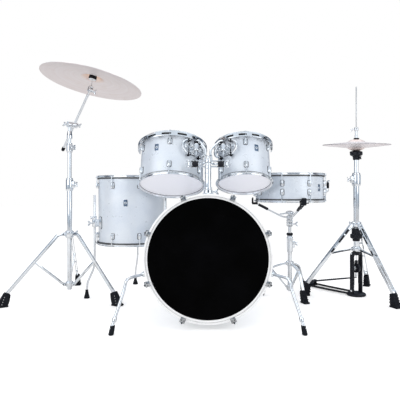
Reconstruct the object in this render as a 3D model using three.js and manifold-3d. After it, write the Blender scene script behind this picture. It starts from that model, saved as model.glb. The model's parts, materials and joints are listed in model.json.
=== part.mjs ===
// Five-drum acoustic kit with one crash cymbal and a pair of hi-hats.
// Units are millimetres. +X is the kit's left-to-right as its front is faced, +Y runs back to the
// player and +Z is up. The layout is drawn about the bass drum's front head, then moved so that the
// row's origin is the middle of the kit's footprint on the floor.
import * as THREE from "three";
import { mergeVertices } from "three/addons/utils/BufferGeometryUtils.js";
import Module from "manifold-3d";

const wasm = await Module();
wasm.setup();

// ---- driving dimensions ----
const GAP = 0.3; // between pieces that touch
const HEAD_SKIN = 0.8; // head film, drawn thick enough to be a solid
const SHELL_WALL = 7;
const BEARING_BEVEL = 3; // bearing edges slope down from their inner rim

const BASS = { r: 254, depth: 457, lean: 2.84, lugs: 8, sides: 32 };
const BASS_HOOP_WALL = 8;
const BASS_HOOP_PROUD = 14; // wood hoop beyond the head
const BASS_HOOP_BACK = 24; // wood hoop back over the shell

// top of the bass drum's hoops, which the toms and their holder stand above
const BASS_TOP = 2 * (BASS.r + 4 + GAP + BASS_HOOP_WALL);

const TOM_LEAN = 21; // degrees back towards the player
const TOM12 = { r: 152.5, depth: 198, lugs: 6, sides: 20, at: [-177, 330, BASS_TOP + 67.4] };
const TOM10 = { r: 127, depth: 198, lugs: 6, sides: 20, at: [177, 334, BASS_TOP + 75.4] };
const FLOOR = { r: 178, depth: 345, lugs: 8, sides: 24, at: [-423, 630, 293] };
const SNARE = { r: 178, depth: 127, lugs: 8, sides: 24, at: [442, 574, 522] };
const HOOP_LIP = 13; // metal hoop's wall beyond the head
const HOOP_FLANGE = 14; // flange outside the shell
const ROD_OUT = 9.5; // tension rod's axis outside the shell
const ROD_R = 3.2;

const POST = { y: 180, r: 14, headZ: BASS_TOP + 157.4, ballX: 58, ballR: 15.5, rodR: 5.5 };

const CRASH = { x: -738, y: 540, feet: [215.5, 330.5, 99], reach: 330, collarZ: 340, hubZ: 74 };
const CRASH_PIVOT_R = 30; // leg and strut pivots, out from the tube's axis
// each leg's shoulder, out and up from its pivot: level, then bent down towards the foot
const CRASH_SHOULDER = [[0, 0], [20, -1], [34, -6], [45, -18]];
const CRASH_ANKLE = [-16, 57]; // where the leg ends inside its boot, from the sole's middle
const CRASH_JOINT = { lower: 638, middle: 825, boom: 923 };
const CRASH_CENTRE = [-590, 426, 1117];
const CRASH_NORMAL = [0.183, 0.09, 1];
const CRASH_R = 254;
const TILTER_DROP = 38; // tilter pivot below the cymbal's rim plane
const BOOM_OFFSET = 26; // boom beside the tube, so that it can tilt past it
const BOOM_TAIL = 190;

const HAT = { x: 809, y: 595, edgeZ: 820, r: 178, rodTop: 1138 };
const HAT_LEAN = 4; // degrees that both cymbals lean forward on their seat
const HAT_FEET = [180, -68, 59];
const HAT_REACH = 278;
const HAT_COLLAR_Z = 386;
const HAT_HUB_Z = 252;
const PEDAL = { heading: -53.3, length: 318, heelZ: 24, toeZ: 97, width: 78 };

const STAND = { x: 442, y: 574, feet: [168, -72, 48], reach: 158, collarZ: 178, hubZ: 47 };
const BASKET = { arms: [176, -80, 50], hubZ: 452 };

// ---- small helpers ----
const rad = THREE.MathUtils.degToRad;
const vec = (a) => new THREE.Vector3(a[0], a[1], a[2]);
const polar = (c, deg, r, z) => [c.x + r * Math.cos(rad(deg)), c.y + r * Math.sin(rad(deg)), z];

function solid(geometry) {
  let g = geometry.index ? geometry.toNonIndexed() : geometry.clone();
  g.deleteAttribute("normal");
  g.deleteAttribute("uv");
  g = mergeVertices(g, 1e-4);
  const p = Float32Array.from(g.attributes.position.array);
  const found = Array.from(g.index.array);
  const kept = [];
  let volume = 0;
  for (let i = 0; i < found.length; i += 3) {
    const [a, b, c] = found.slice(i, i + 3);
    if (a === b || b === c || a === c) continue;
    kept.push(a, b, c);
    const A = new THREE.Vector3().fromArray(p, a * 3);
    const B = new THREE.Vector3().fromArray(p, b * 3);
    const C = new THREE.Vector3().fromArray(p, c * 3);
    volume += A.dot(B.cross(C));
  }
  if (volume < 0) {
    for (let i = 0; i < kept.length; i += 3) [kept[i], kept[i + 1]] = [kept[i + 1], kept[i]];
  }
  const tri = Uint32Array.from(kept);
  return new wasm.Manifold(new wasm.Mesh({ numProp: 3, vertProperties: p, triVerts: tri }));
}

const join = (...list) => list.flat().reduce((a, b) => a.add(b));

// A profile of [radius, height] turned about +Z.
function turned(profile, sides, closed = false) {
  const points = profile.map(([r, z]) => new THREE.Vector2(r, z));
  if (closed) points.push(points[0].clone());
  return solid(new THREE.LatheGeometry(points, sides).rotateX(Math.PI / 2));
}

function rod(a, b, r, sides = 8, endR = r) {
  const from = vec(a);
  const along = vec(b).sub(from);
  const g = new THREE.CylinderGeometry(endR, r, along.length(), sides);
  g.translate(0, along.length() / 2, 0);
  g.applyQuaternion(
    new THREE.Quaternion().setFromUnitVectors(new THREE.Vector3(0, 1, 0), along.normalize()),
  );
  g.translate(from.x, from.y, from.z);
  return solid(g);
}

// The cutter for a round hole whose flats stand GAP clear of a rod of radius r.
const bore = (a, b, r, sides = 8) => rod(a, b, (r + GAP) / Math.cos(Math.PI / sides), sides);

// A rectangular bar between two points; "across" is the direction its width is measured in.
function bar(a, b, width, thick, across) {
  const z = vec(b).sub(vec(a));
  const length = z.length();
  z.normalize();
  const x = vec(across).sub(z.clone().multiplyScalar(vec(across).dot(z))).normalize();
  const y = z.clone().cross(x);
  const g = new THREE.BoxGeometry(width, thick, length).translate(0, 0, length / 2);
  const m = new THREE.Matrix4().makeBasis(x, y, z).setPosition(a[0], a[1], a[2]);
  return solid(g.applyMatrix4(m));
}

function block(c, size, turn = 0) {
  const g = new THREE.BoxGeometry(size[0], size[1], size[2]);
  g.rotateZ(rad(turn)).translate(c[0], c[1], c[2]);
  return solid(g);
}

function ball(c, r, sides = 10) {
  return solid(new THREE.SphereGeometry(r, sides, Math.round(sides * 0.7)).translate(...c));
}

// A round rod swept along a smooth curve through the points.
function bent(points, r, steps, sides = 8, tension = 0.5) {
  const path = new THREE.CatmullRomCurve3(points.map(vec), false, "catmullrom", tension);
  const shape = new THREE.Shape();
  for (let i = 0; i < sides; i++) {
    const a = (i / sides) * 2 * Math.PI;
    shape[i ? "lineTo" : "moveTo"](r * Math.cos(a), r * Math.sin(a));
  }
  shape.closePath();
  return solid(new THREE.ExtrudeGeometry(shape, { steps, extrudePath: path, bevelEnabled: false }));
}

// Moves a solid from its own frame (z along "up") to the kit's.
function placed(body, at, up = [0, 0, 1], right = [1, 0, 0]) {
  const z = vec(up).normalize();
  const x = vec(right).sub(z.clone().multiplyScalar(vec(right).dot(z))).normalize();
  const m = new THREE.Matrix4().makeBasis(x, z.clone().cross(x), z).setPosition(...at);
  return body.transform(m.elements);
}

const ringAngles = (count, start = 0) =>
  Array.from({ length: count }, (_, i) => start + (i * 360) / count);

// ---- finishes ----
const finish = {
  wrap: [0xdfe5ec, 0.12, 0.1],
  chrome: [0xd8dade, 0.08, 1],
  head: [0xe6e4e8, 0.45, 0],
  blackHead: [0x080808, 0.3, 0],
  woodHoop: [0xf1ede4, 0.3, 0],
  bronze: [0xd9b48a, 0.3, 1],
  rubber: [0x16181f, 0.8, 0],
  black: [0x101319, 0.45, 0.2],
  steel: [0xb9bcc2, 0.3, 1],
};

const kit = new THREE.Group();
kit.name = "drum_kit";

function piece(name, body, [color, roughness, metalness]) {
  const mesh = body.asOriginal().simplify(0.02).getMesh();
  const g = new THREE.BufferGeometry();
  const flat = new Float32Array(mesh.numVert * 3);
  for (let i = 0; i < mesh.numVert; i++) {
    for (let k = 0; k < 3; k++) flat[i * 3 + k] = mesh.vertProperties[i * mesh.numProp + k];
  }
  g.setAttribute("position", new THREE.BufferAttribute(flat, 3));
  g.setIndex(new THREE.BufferAttribute(Uint32Array.from(mesh.triVerts), 1));
  g.computeVertexNormals();
  const material = new THREE.MeshStandardMaterial({ color, roughness, metalness });
  const node = new THREE.Mesh(g, material);
  node.name = name;
  kit.add(node);
}

// ---- drums, each about its own axis with z = 0 at the lower bearing edge ----
const shellTube = (d) =>
  turned(
    [
      [d.r - SHELL_WALL, 0],
      [d.r, BEARING_BEVEL],
      [d.r, d.depth - BEARING_BEVEL],
      [d.r - SHELL_WALL, d.depth],
    ],
    d.sides,
    true,
  );

// A head seen from its drum: film over the bearing edge, collar and flesh hoop outside the shell.
const drumHead = (d) =>
  turned(
    [
      [0, GAP],
      [d.r + 0.6, GAP],
      [d.r + 4, -6],
      [d.r + 4, GAP + HEAD_SKIN],
      [0, GAP + HEAD_SKIN],
    ],
    d.sides,
  );

const flip = (body) => body.transform(new THREE.Matrix4().makeRotationX(Math.PI).elements);
const raise = (body, z) => body.translate([0, 0, z]);

const LUG_SET = 26; // bearing edge to the near end of a tom's lug
const LUG = { long: 30, wide: 18, high: 16 };

function lugAt(d, deg, z, size, r = d.r) {
  const side = new THREE.Shape();
  side.moveTo(-4, -size.long / 2);
  side.lineTo(size.high * 0.75, -size.long / 2);
  side.lineTo(size.high, 0);
  side.lineTo(size.high * 0.75, size.long / 2);
  side.lineTo(-4, size.long / 2);
  side.closePath();
  const g = new THREE.ExtrudeGeometry(side, { depth: size.wide, bevelEnabled: false });
  g.translate(0, 0, -size.wide / 2).rotateX(Math.PI / 2).translate(r, 0, z).rotateZ(rad(deg));
  return solid(g);
}

// Suspension band hung round the front of a mounted tom from its top hoop, outside the lugs.
const BAND = { out: 19, thick: 2, drop: 20, ends: 12 }; // ends: degrees past the sides
function suspensionBand(d) {
  const seat = GAP + HEAD_SKIN + GAP;
  const r = d.r + BAND.out;
  const ring = turned(
    [
      [d.r + HOOP_FLANGE - 2, seat],
      [r - BAND.thick, seat],
      [r - BAND.thick, -BAND.drop],
      [r, -BAND.drop],
      [r, seat + 2.4],
      [d.r + HOOP_FLANGE - 2, seat + 2.4],
    ],
    d.sides,
    true,
  );
  const behind = r * Math.sin(rad(BAND.ends));
  return ring.subtract(block([0, behind + r, 0], [3 * r, 2 * r, 4 * BAND.drop]));
}

// Pressed steel hoop that bears down on the flesh hoop, with its tension rods.
function metalHoop(d, lugStart) {
  const seat = GAP + HEAD_SKIN + GAP;
  const ring = turned(
    [
      [d.r + 1.2, seat],
      [d.r + HOOP_FLANGE, seat],
      [d.r + HOOP_FLANGE, seat + 2.4],
      [d.r + 4, HOOP_LIP],
      [d.r + 1.2, HOOP_LIP],
    ],
    d.sides,
    true,
  );
  const rods = ringAngles(d.lugs, lugStart).map((deg) => {
    const top = polar({ x: 0, y: 0 }, deg, d.r + ROD_OUT, seat + 1.2);
    const end = polar({ x: 0, y: 0 }, deg, d.r + ROD_OUT, -LUG_SET + GAP);
    return rod(end, top, ROD_R, 4);
  });
  return join(ring, rods);
}

function lugged(d, lugStart) {
  let body = shellTube(d);
  for (const deg of ringAngles(d.lugs, lugStart)) {
    for (const z of [LUG_SET + LUG.long / 2, d.depth - LUG_SET - LUG.long / 2]) {
      body = body.add(lugAt(d, deg, z, LUG));
    }
  }
  return body;
}

// Blank badge plate with the air vent under it.
function badge(d, deg, z) {
  const c = polar({ x: 0, y: 0 }, deg, d.r, z);
  return block(c, [3, 26, 34], deg);
}

const UP = (lean) => [0, Math.sin(rad(lean)), Math.cos(rad(lean))];

// ---- bass drum ----
const bassAxis = [0, -Math.cos(rad(BASS.lean)), Math.sin(rad(BASS.lean))];
const bassHoopR = BASS.r + 4 + GAP + BASS_HOOP_WALL;
const bassBatterZ =
  bassHoopR * Math.cos(rad(BASS.lean)) + BASS_HOOP_PROUD * Math.sin(rad(BASS.lean)) + GAP;
const bassBack = [0, BASS.depth * Math.cos(rad(BASS.lean)), bassBatterZ];
// own frame: z runs forward along the axis, x to the kit's right, and y then points up
const inBass = (body) => placed(body, bassBack, bassAxis, [1, 0, 0]);
const bassPoint = (x, y, z) => {
  const a = vec(bassAxis);
  const up = a.clone().cross(new THREE.Vector3(1, 0, 0));
  return vec(bassBack).addScaledVector(a, z).addScaledVector(up, y).add(vec([x, 0, 0]));
};
const BASS_LUG = { long: 52, wide: 22, high: 30 };
const BASS_LUG_SET = 62;
const CLAW_OUT = 24;
const bassAngles = ringAngles(BASS.lugs, 22.5);

function bassHoop() {
  const ring = turned(
    [
      [BASS.r + 4 + GAP, -BASS_HOOP_BACK],
      [bassHoopR, -BASS_HOOP_BACK],
      [bassHoopR, BASS_HOOP_PROUD],
      [BASS.r + 4 + GAP, BASS_HOOP_PROUD],
    ],
    BASS.sides,
    true,
  );
  const claws = bassAngles.map((deg) => {
    const o = { x: 0, y: 0 };
    const plate = block(
      polar(o, deg, BASS.r + 4 + CLAW_OUT / 2, BASS_HOOP_PROUD),
      [CLAW_OUT + 4, 16, 6],
      deg,
    );
    const key = rod(
      polar(o, deg, BASS.r + CLAW_OUT, -BASS_LUG_SET + GAP),
      polar(o, deg, BASS.r + CLAW_OUT, BASS_HOOP_PROUD + 8),
      4.5,
      4,
    );
    return join(plate, key);
  });
  return join(ring, claws);
}

// ---- spurs ----
const SPUR = { out: 20, drumZ: BASS.depth - 78, deg: 15, tube: 8 };
// spur bracket: on the shell's lower quarter, its pivot axis points straight out of the shell
function spurPoints(side) {
  const a = rad(SPUR.deg);
  const outX = side * Math.cos(a);
  const outY = -Math.sin(a);
  return { at: (r, z) => bassPoint(outX * r, outY * r, z).toArray() };
}

function spur(side) {
  const { at } = spurPoints(side);
  const hub = rod(
    at(BASS.r + SPUR.out + GAP, SPUR.drumZ),
    at(BASS.r + SPUR.out + 18, SPUR.drumZ),
    13,
    10,
  );
  const start = at(BASS.r + SPUR.out + 10, SPUR.drumZ);
  const bend = [side * 330, 4, 205];
  const tip = [side * 380.5, -71, 24];
  const down = [side * 343, -14, 160];
  const leg = bent([start, bend, down, tip], SPUR.tube, 7, 6, 0.4);
  const foot = rod([side * 382, -73, 0], [side * 380, -70, 34], 11, 8, 9)
    .subtract(block([side * 382, -73, -20 + 1], [60, 60, 40]))
    .translate([0, 0, -1]);
  return join(hub, leg, foot);
}

const bassShellParts = [shellTube(BASS)];
for (const deg of bassAngles) {
  for (const z of [BASS_LUG_SET + BASS_LUG.long / 2, BASS.depth - BASS_LUG_SET - BASS_LUG.long / 2]) {
    bassShellParts.push(lugAt(BASS, deg, z, BASS_LUG));
  }
}
for (const side of [-1, 1]) {
  const a = side > 0 ? -SPUR.deg : 180 + SPUR.deg;
  const o = { x: 0, y: 0 };
  bassShellParts.push(
    rod(polar(o, a, BASS.r - 3, SPUR.drumZ), polar(o, a, BASS.r + SPUR.out, SPUR.drumZ), 15, 10),
    block(polar(o, a, BASS.r + 2, SPUR.drumZ), [8, 40, 52], a),
  );
}
// the tom post passes down through a round hole in the top of the shell
const postAt = (z) => [0, POST.y, z];
const bassTopZ = (y) => bassBatterZ + (bassBack[1] - y) * Math.tan(rad(BASS.lean)) + BASS.r;
const socketZ = bassTopZ(POST.y);
let bassShell = inBass(join(bassShellParts));
const SOCKET_R = 22;
bassShell = bassShell.subtract(
  rod(postAt(socketZ - 60), postAt(socketZ + 20), SOCKET_R + GAP, 12),
);
piece("bass_shell", bassShell, finish.wrap);
piece("bass_front_head", inBass(raise(drumHead(BASS), BASS.depth)), finish.blackHead);
piece("bass_batter_head", inBass(flip(drumHead(BASS))), finish.head);
piece("bass_front_hoop", inBass(raise(bassHoop(), BASS.depth)), finish.woodHoop);
piece("bass_batter_hoop", inBass(flip(bassHoop())), finish.woodHoop);
piece("spur_left", spur(-1), finish.chrome);
piece("spur_right", spur(1), finish.chrome);

// ---- tom holder ----
// socket: a flared collar on the shell with a sleeve through it
const socket = join(
  rod(postAt(socketZ - 50), postAt(socketZ + 8), SOCKET_R, 12),
  turned([[0, 3], [44, 3], [44, 9], [20, 22], [20, 34], [0, 34]], 12)
    .translate([0, POST.y, socketZ + 1]),
  rod([14, POST.y, socketZ + 26], [42, POST.y, socketZ + 26], 4, 6),
  block([42, POST.y, socketZ + 26], [5, 8, 26]),
);
const postBottom = socketZ - 150;
piece(
  "tom_post_socket",
  socket.subtract(rod(postAt(socketZ - 80), postAt(socketZ + 80), POST.r + GAP, 12)),
  finish.chrome,
);

// on each side a pair of plates holds a ball between them; a wing bolt draws all four together
const CLAMP = { near: 10, far: 98, deep: 24, thick: 6, off: 12.5 };
const jawTop = POST.headZ + 20;
const jawLow = POST.headZ - 22;
const clampPlate = (side, off) =>
  block(
    [(side * (CLAMP.near + CLAMP.far)) / 2, POST.y, POST.headZ + off],
    [CLAMP.far - CLAMP.near, CLAMP.deep, CLAMP.thick],
  );
let head = rod(postAt(jawLow - 4), postAt(jawTop), 15, 12);
for (const side of [-1, 1]) {
  const cavity = (POST.ballR + GAP) / Math.cos(Math.PI / 12) ** 2;
  head = join(head, clampPlate(side, -CLAMP.off), clampPlate(side, CLAMP.off));
  head = head.subtract(ball([side * POST.ballX, POST.y, POST.headZ], cavity, 12));
  // notch behind, where the arm turns up
  head = head.subtract(block([side * 27, POST.y + 10, POST.headZ], [20, 10, 50]));
}
const post = join(
  head,
  rod(postAt(postBottom), postAt(jawLow), POST.r, 12),
  rod([0, POST.y, jawTop], [0, POST.y, jawTop + 16], 4, 6),
  block([0, POST.y, jawTop + 20], [30, 6, 10]),
);
piece("tom_post", post, finish.chrome);

// each arm: ball in the jaws, a bend up between the toms and over, then down its tom's bracket
function tomArm(side, tom) {
  const { rodDown, rodTop } = bracketLine(tom, side);
  const x = side * POST.ballX;
  const path = [
    [side * 104, POST.y, POST.headZ],
    [x, POST.y, POST.headZ],
    [side * 34, POST.y, POST.headZ],
  ];
  const turn = [
    [side * 19, POST.y + 21, POST.headZ + 5],
    [side * 14, POST.y + 38, POST.headZ + 36],
    [side * 15, POST.y + 62, POST.headZ + 72],
  ];
  const over = vec(rodTop).addScaledVector(vec(UP(TOM_LEAN)), 14).toArray();
  over[0] -= side * 12;
  return join(
    ball([x, POST.y, POST.headZ], POST.ballR, 10),
    bent([...path, ...turn, over, rodTop], POST.rodR, 12, 5),
    ball(rodTop, POST.rodR, 6),
    rod(rodTop, rodDown, POST.rodR, 6),
  );
}

// bracket on the inner front of a tom: centre line of the rod it holds
const TOM_BRACKET = { deg: 48, out: 30, z: 0.66 };
function bracketDeg(side) {
  return side < 0 ? -TOM_BRACKET.deg : 180 + TOM_BRACKET.deg;
}
function bracketLine(tom, side) {
  const o = { x: 0, y: 0 };
  const deg = bracketDeg(side);
  const up = vec(UP(TOM_LEAN));
  const right = new THREE.Vector3(1, 0, 0);
  const back = up.clone().cross(right);
  const place = (z) => {
    const p = polar(o, deg, tom.r + TOM_BRACKET.out, z);
    return vec(tom.at)
      .addScaledVector(right, p[0])
      .addScaledVector(back, p[1])
      .addScaledVector(up, p[2])
      .toArray();
  };
  const z = tom.depth * TOM_BRACKET.z;
  return { rodDown: place(z - 38), rodTop: place(z + 22), mid: place(z) };
}

function tomBracket(tom, side) {
  const deg = bracketDeg(side);
  const o = { x: 0, y: 0 };
  const z = tom.depth * TOM_BRACKET.z;
  const foot = block(polar(o, deg, tom.r + 3, z), [10, 46, 62], deg);
  const body = block(polar(o, deg, tom.r + TOM_BRACKET.out / 2 + 6, z), [TOM_BRACKET.out + 10, 26, 36], deg);
  // the wing bolt stands out sideways, away from the holder
  const away = side * 90 + deg;
  const from = polar(o, deg, tom.r + TOM_BRACKET.out, z);
  const beside = (reach) => polar({ x: from[0], y: from[1] }, away, reach, z);
  const bolt = rod(beside(8), beside(26), 4, 5);
  const wing = block(beside(28), [5, 26, 9], away);
  const hole = bore(
    polar(o, deg, tom.r + TOM_BRACKET.out, z - 60),
    polar(o, deg, tom.r + TOM_BRACKET.out, z + 60),
    POST.rodR,
  );
  return { keep: join(foot, body, bolt, wing), hole };
}

function mountedTom(name, tom, side) {
  const put = (body) => placed(body, tom.at, UP(TOM_LEAN));
  const { keep, hole } = tomBracket(tom, side);
  const shell = join(lugged(tom, -90), badge(tom, side < 0 ? -114 : -66, tom.depth * 0.66), keep);
  piece(`${name}_shell`, put(shell.subtract(hole)), finish.wrap);
  piece(`${name}_batter_head`, put(raise(drumHead(tom), tom.depth)), finish.head);
  piece(`${name}_bottom_head`, put(flip(drumHead(tom))), finish.head);
  const topHoop = metalHoop(tom, -90).add(suspensionBand(tom));
  piece(`${name}_top_hoop`, put(raise(topHoop, tom.depth)), finish.chrome);
  piece(`${name}_bottom_hoop`, put(flip(metalHoop(tom, -90))), finish.chrome);
  piece(`${name}_arm`, tomArm(side, tom), finish.chrome);
}
mountedTom("tom12", TOM12, -1);
mountedTom("tom10", TOM10, 1);

// ---- floor tom ----
const LEG = { r: 6, out: 32, top: 548, bracketZ: 400, bend: 160, foot: 50 };
// each leg's place on the shell, and the way its bent end is turned
const legSpots = [[-146, 158], [90, 115], [-22, -22]].map(([deg, turn]) => ({
  deg,
  turn,
  r: FLOOR.r + LEG.out,
}));
const floorAt = { x: FLOOR.at[0], y: FLOOR.at[1] };
let floorShell = lugged(FLOOR, 22.5).translate(FLOOR.at);
floorShell = floorShell.add(badge(FLOOR, -90, FLOOR.depth * 0.62).translate(FLOOR.at));
for (const { deg, r } of legSpots) {
  const z = LEG.bracketZ;
  floorShell = join(
    floorShell,
    block(polar(floorAt, deg, FLOOR.r + 3, z), [10, 36, 62], deg),
    block(polar(floorAt, deg, FLOOR.r + LEG.out / 2 + 4, z), [LEG.out + 8, 22, 40], deg),
    rod(polar(floorAt, deg, r + 8, z), polar(floorAt, deg, r + 26, z), 4, 6),
    block(polar(floorAt, deg, r + 28, z), [6, 28, 9], deg),
  );
  floorShell = floorShell.subtract(
    bore(polar(floorAt, deg, r, z - 60), polar(floorAt, deg, r, z + 60), LEG.r),
  );
}
piece("floor_tom_shell", floorShell, finish.wrap);
piece("floor_tom_batter_head", raise(drumHead(FLOOR), FLOOR.depth).translate(FLOOR.at), finish.head);
piece("floor_tom_bottom_head", flip(drumHead(FLOOR)).translate(FLOOR.at), finish.head);
piece(
  "floor_tom_top_hoop",
  raise(metalHoop(FLOOR, 22.5), FLOOR.depth).translate(FLOOR.at),
  finish.chrome,
);
piece("floor_tom_bottom_hoop", flip(metalHoop(FLOOR, -22.5)).translate(FLOOR.at), finish.chrome);

["a", "b", "c"].forEach((letter, i) => {
  const { deg, turn, r } = legSpots[i];
  const [x, y] = polar(floorAt, deg, r, 0);
  const at = (out, z) => polar({ x, y }, turn, out, z);
  const bend = [at(0, LEG.bend + 36), at(0, LEG.bend + 26), at(12, LEG.bend - 12)];
  const straight = rod(at(0, LEG.bend + 30), at(0, LEG.top), LEG.r, 8);
  const low = bent([...bend, at(LEG.foot - 7, 86), at(LEG.foot, 46)], LEG.r, 6, 8, 0.4);
  const foot = rod(at(LEG.foot, 0), at(LEG.foot, 38), 16, 8, 8);
  const tip = rod(at(LEG.foot, 30), at(LEG.foot, 58), LEG.r, 8);
  piece(`floor_tom_leg_${letter}`, join(straight, low, foot, tip), finish.chrome);
});

// ---- snare drum ----
const snareAt = { x: SNARE.at[0], y: SNARE.at[1] };
const STRAINER = { out: 20, wide: 34, tall: 62, z: SNARE.depth * 0.5 };
const strainer = block([SNARE.r + STRAINER.out / 2 - 3, 0, STRAINER.z], [
  STRAINER.out + 4,
  STRAINER.wide,
  STRAINER.tall,
]);
const butt = block([-SNARE.r - 6, 0, 30], [18, 40, 26]);
piece(
  "snare_shell",
  join(lugged(SNARE, 22.5), strainer, butt, badge(SNARE, -67.5 + 22.5, SNARE.depth / 2))
    .translate(SNARE.at),
  finish.wrap,
);
piece("snare_batter_head", raise(drumHead(SNARE), SNARE.depth).translate(SNARE.at), finish.head);
piece("snare_side_head", flip(drumHead(SNARE)).translate(SNARE.at), finish.head);
piece(
  "snare_top_hoop",
  raise(metalHoop(SNARE, 22.5), SNARE.depth).translate(SNARE.at),
  finish.chrome,
);
// the lower hoop has a gate at each side that the strap of the wires passes through
const GATE = { wide: 48, from: 1, high: 7.5 };
const gate = block([0, 0, -GATE.from - GATE.high / 2], [2 * SNARE.r + 60, GATE.wide, GATE.high]);
const lowHoop = flip(metalHoop(SNARE, -22.5));
piece("snare_bottom_hoop", lowHoop.subtract(gate).translate(SNARE.at), finish.chrome);

// wires: a comb of strips between two end plates, with a strap out to each side
const WIRES = { half: 150, wide: 40, under: GAP + HEAD_SKIN + GAP };
const wireZ = -(WIRES.under + 0.9);
const strands = ringAngles(6).map((_, i) =>
  block([0, (i - 2.5) * 7, wireZ], [2 * WIRES.half, 1.8, 1.6]),
);
const plates = [-1, 1].map((s) => block([s * WIRES.half, 0, wireZ], [12, WIRES.wide, 1.8]));
const straps = [-1, 1].map((s) =>
  block([s * (WIRES.half + 22), 0, wireZ], [44, 24, 1]),
);
piece("snare_wires", join(strands, plates, straps).translate(SNARE.at), finish.steel);

// throw-off lever: pivots on a cross pin at the foot of the strainer's face
const LEVER = { x: SNARE.r + STRAINER.out + 2, z: STRAINER.z - 16 };
const lever = join(
  rod([LEVER.x + 2, -11, LEVER.z], [LEVER.x + 2, 11, LEVER.z], 4.5, 8),
  block([LEVER.x + 4, 0, LEVER.z + 24], [7, 13, 52]),
  block([LEVER.x + 8, 0, LEVER.z + 52], [16, 15, 9]),
);
piece("snare_throw_off", lever.translate([SNARE.at[0], SNARE.at[1], SNARE.at[2]]), finish.black);

// ---- shared stand hardware ----
const wing = (c, deg, reach, z) => {
  const from = polar(c, deg, reach - 8, z);
  const to = polar(c, deg, reach + 14, z);
  return join(rod(from, to, 3.5, 6), block(polar(c, deg, reach + 16, z), [5, 28, 9], deg));
};

// A collar clamp round a tube: turned body with a split lug and its wing bolt.
function clampCollar(c, low, high, r, deg) {
  const mid = (low + high) / 2;
  const body = turned(
    [[0, low], [r, low], [r, high - 6], [r - 3, high], [0, high]],
    10,
  ).translate([c.x, c.y, 0]);
  return join(body, block(polar(c, deg, r + 2, mid), [14, 12, (high - low) * 0.5], deg),
    wing(c, deg, r + 8, mid));
}

const STRIP = { wide: 15, thick: 3, gap: 7 };

// Twin flat strips from a pivot out to a rubber foot, in the upright plane at "deg".
function twinLeg(c, deg, points, strip) {
  const side = [-Math.sin(rad(deg)), Math.cos(rad(deg)), 0];
  const off = strip.gap / 2 + strip.thick / 2;
  const [r, z] = points[points.length - 1];
  const [r1, z1] = points[points.length - 2];
  const back = 16 / Math.hypot(r - r1, z - z1);
  const from = polar(c, deg, r + (r1 - r) * back, z + (z1 - z) * back);
  return join(
    [-off, off].map((s) => channelLeg(c, deg, points, strip.thick, strip.wide, s)),
    bar(from, polar(c, deg, r, z), strip.gap + 4, strip.wide, side),
  );
}

// A light stand's leg: one channel through the points, in the upright plane at "deg".
function channelLeg(c, deg, points, wide = 13, deep = 10, beside = 0) {
  const side = [-Math.sin(rad(deg)), Math.cos(rad(deg)), 0];
  const lift = points.map(([r, z], i) => {
    const [r0, z0] = points[Math.max(i - 1, 0)];
    const [r1, z1] = points[Math.min(i + 1, points.length - 1)];
    const run = new THREE.Vector2(r1 - r0, z1 - z0).normalize();
    return [-run.y * (deep / 2), run.x * (deep / 2)];
  });
  const outline = new THREE.Shape();
  points.forEach(([r, z], i) =>
    outline[i ? "lineTo" : "moveTo"](r + lift[i][0], z + lift[i][1]));
  [...points].reverse().forEach(([r, z], i) => {
    const k = points.length - 1 - i;
    outline.lineTo(r - lift[k][0], z - lift[k][1]);
  });
  outline.closePath();
  const g = new THREE.ExtrudeGeometry(outline, { depth: wide, bevelEnabled: false });
  g.translate(0, 0, beside - wide / 2).rotateX(Math.PI / 2).rotateZ(rad(deg)).translate(c.x, c.y, 0);
  return solid(g);
}

// Rubber boot: a flat, flared sole, and a top that leans back to take the leg.
function footBlock(c, deg, r, { long, wide, high, lean = 0 }) {
  const boot = new THREE.Shape();
  boot.moveTo(-long * 0.44, 0);
  boot.lineTo(long * 0.47, 0);
  boot.lineTo(long * 0.56, high * 0.1);
  boot.lineTo(long * 0.45 - lean * 0.4, high * 0.5);
  boot.lineTo(long * 0.27 - lean, high);
  boot.lineTo(-long * 0.27 - lean, high * 0.8);
  boot.lineTo(-long * 0.42 - lean * 0.5, high * 0.4);
  boot.closePath();
  const g = new THREE.ExtrudeGeometry(boot, { depth: wide, bevelEnabled: false });
  g.translate(0, 0, -wide / 2).rotateX(Math.PI / 2).rotateZ(rad(deg));
  const p = polar(c, deg, r, 0);
  return solid(g.translate(p[0], p[1], 0));
}

// Ears either side of a flat tongue, standing out from a hub to a pivot.
function ears(c, deg, r0, r1, z, gap, high = 16, thick = 3.5) {
  const side = [-Math.sin(rad(deg)), Math.cos(rad(deg)), 0];
  return [-1, 1].map((s) => {
    const off = s * (gap / 2 + thick / 2);
    const p = polar(c, deg, (r0 + r1) / 2, z);
    return block([p[0] + side[0] * off, p[1] + side[1] * off, z], [r1 - r0, thick, high], deg);
  });
}

const PIN_R = 3;
const PIN_HOLE_R = 3.6; // flats of the hole clear the pin's corners
function pin(c, deg, r, z, half, radius = PIN_R) {
  const side = [-Math.sin(rad(deg)), Math.cos(rad(deg)), 0];
  const p = polar(c, deg, r, z);
  return rod(
    [p[0] - side[0] * half, p[1] - side[1] * half, z],
    [p[0] + side[0] * half, p[1] + side[1] * half, z],
    radius,
    6,
  );
}

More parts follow.
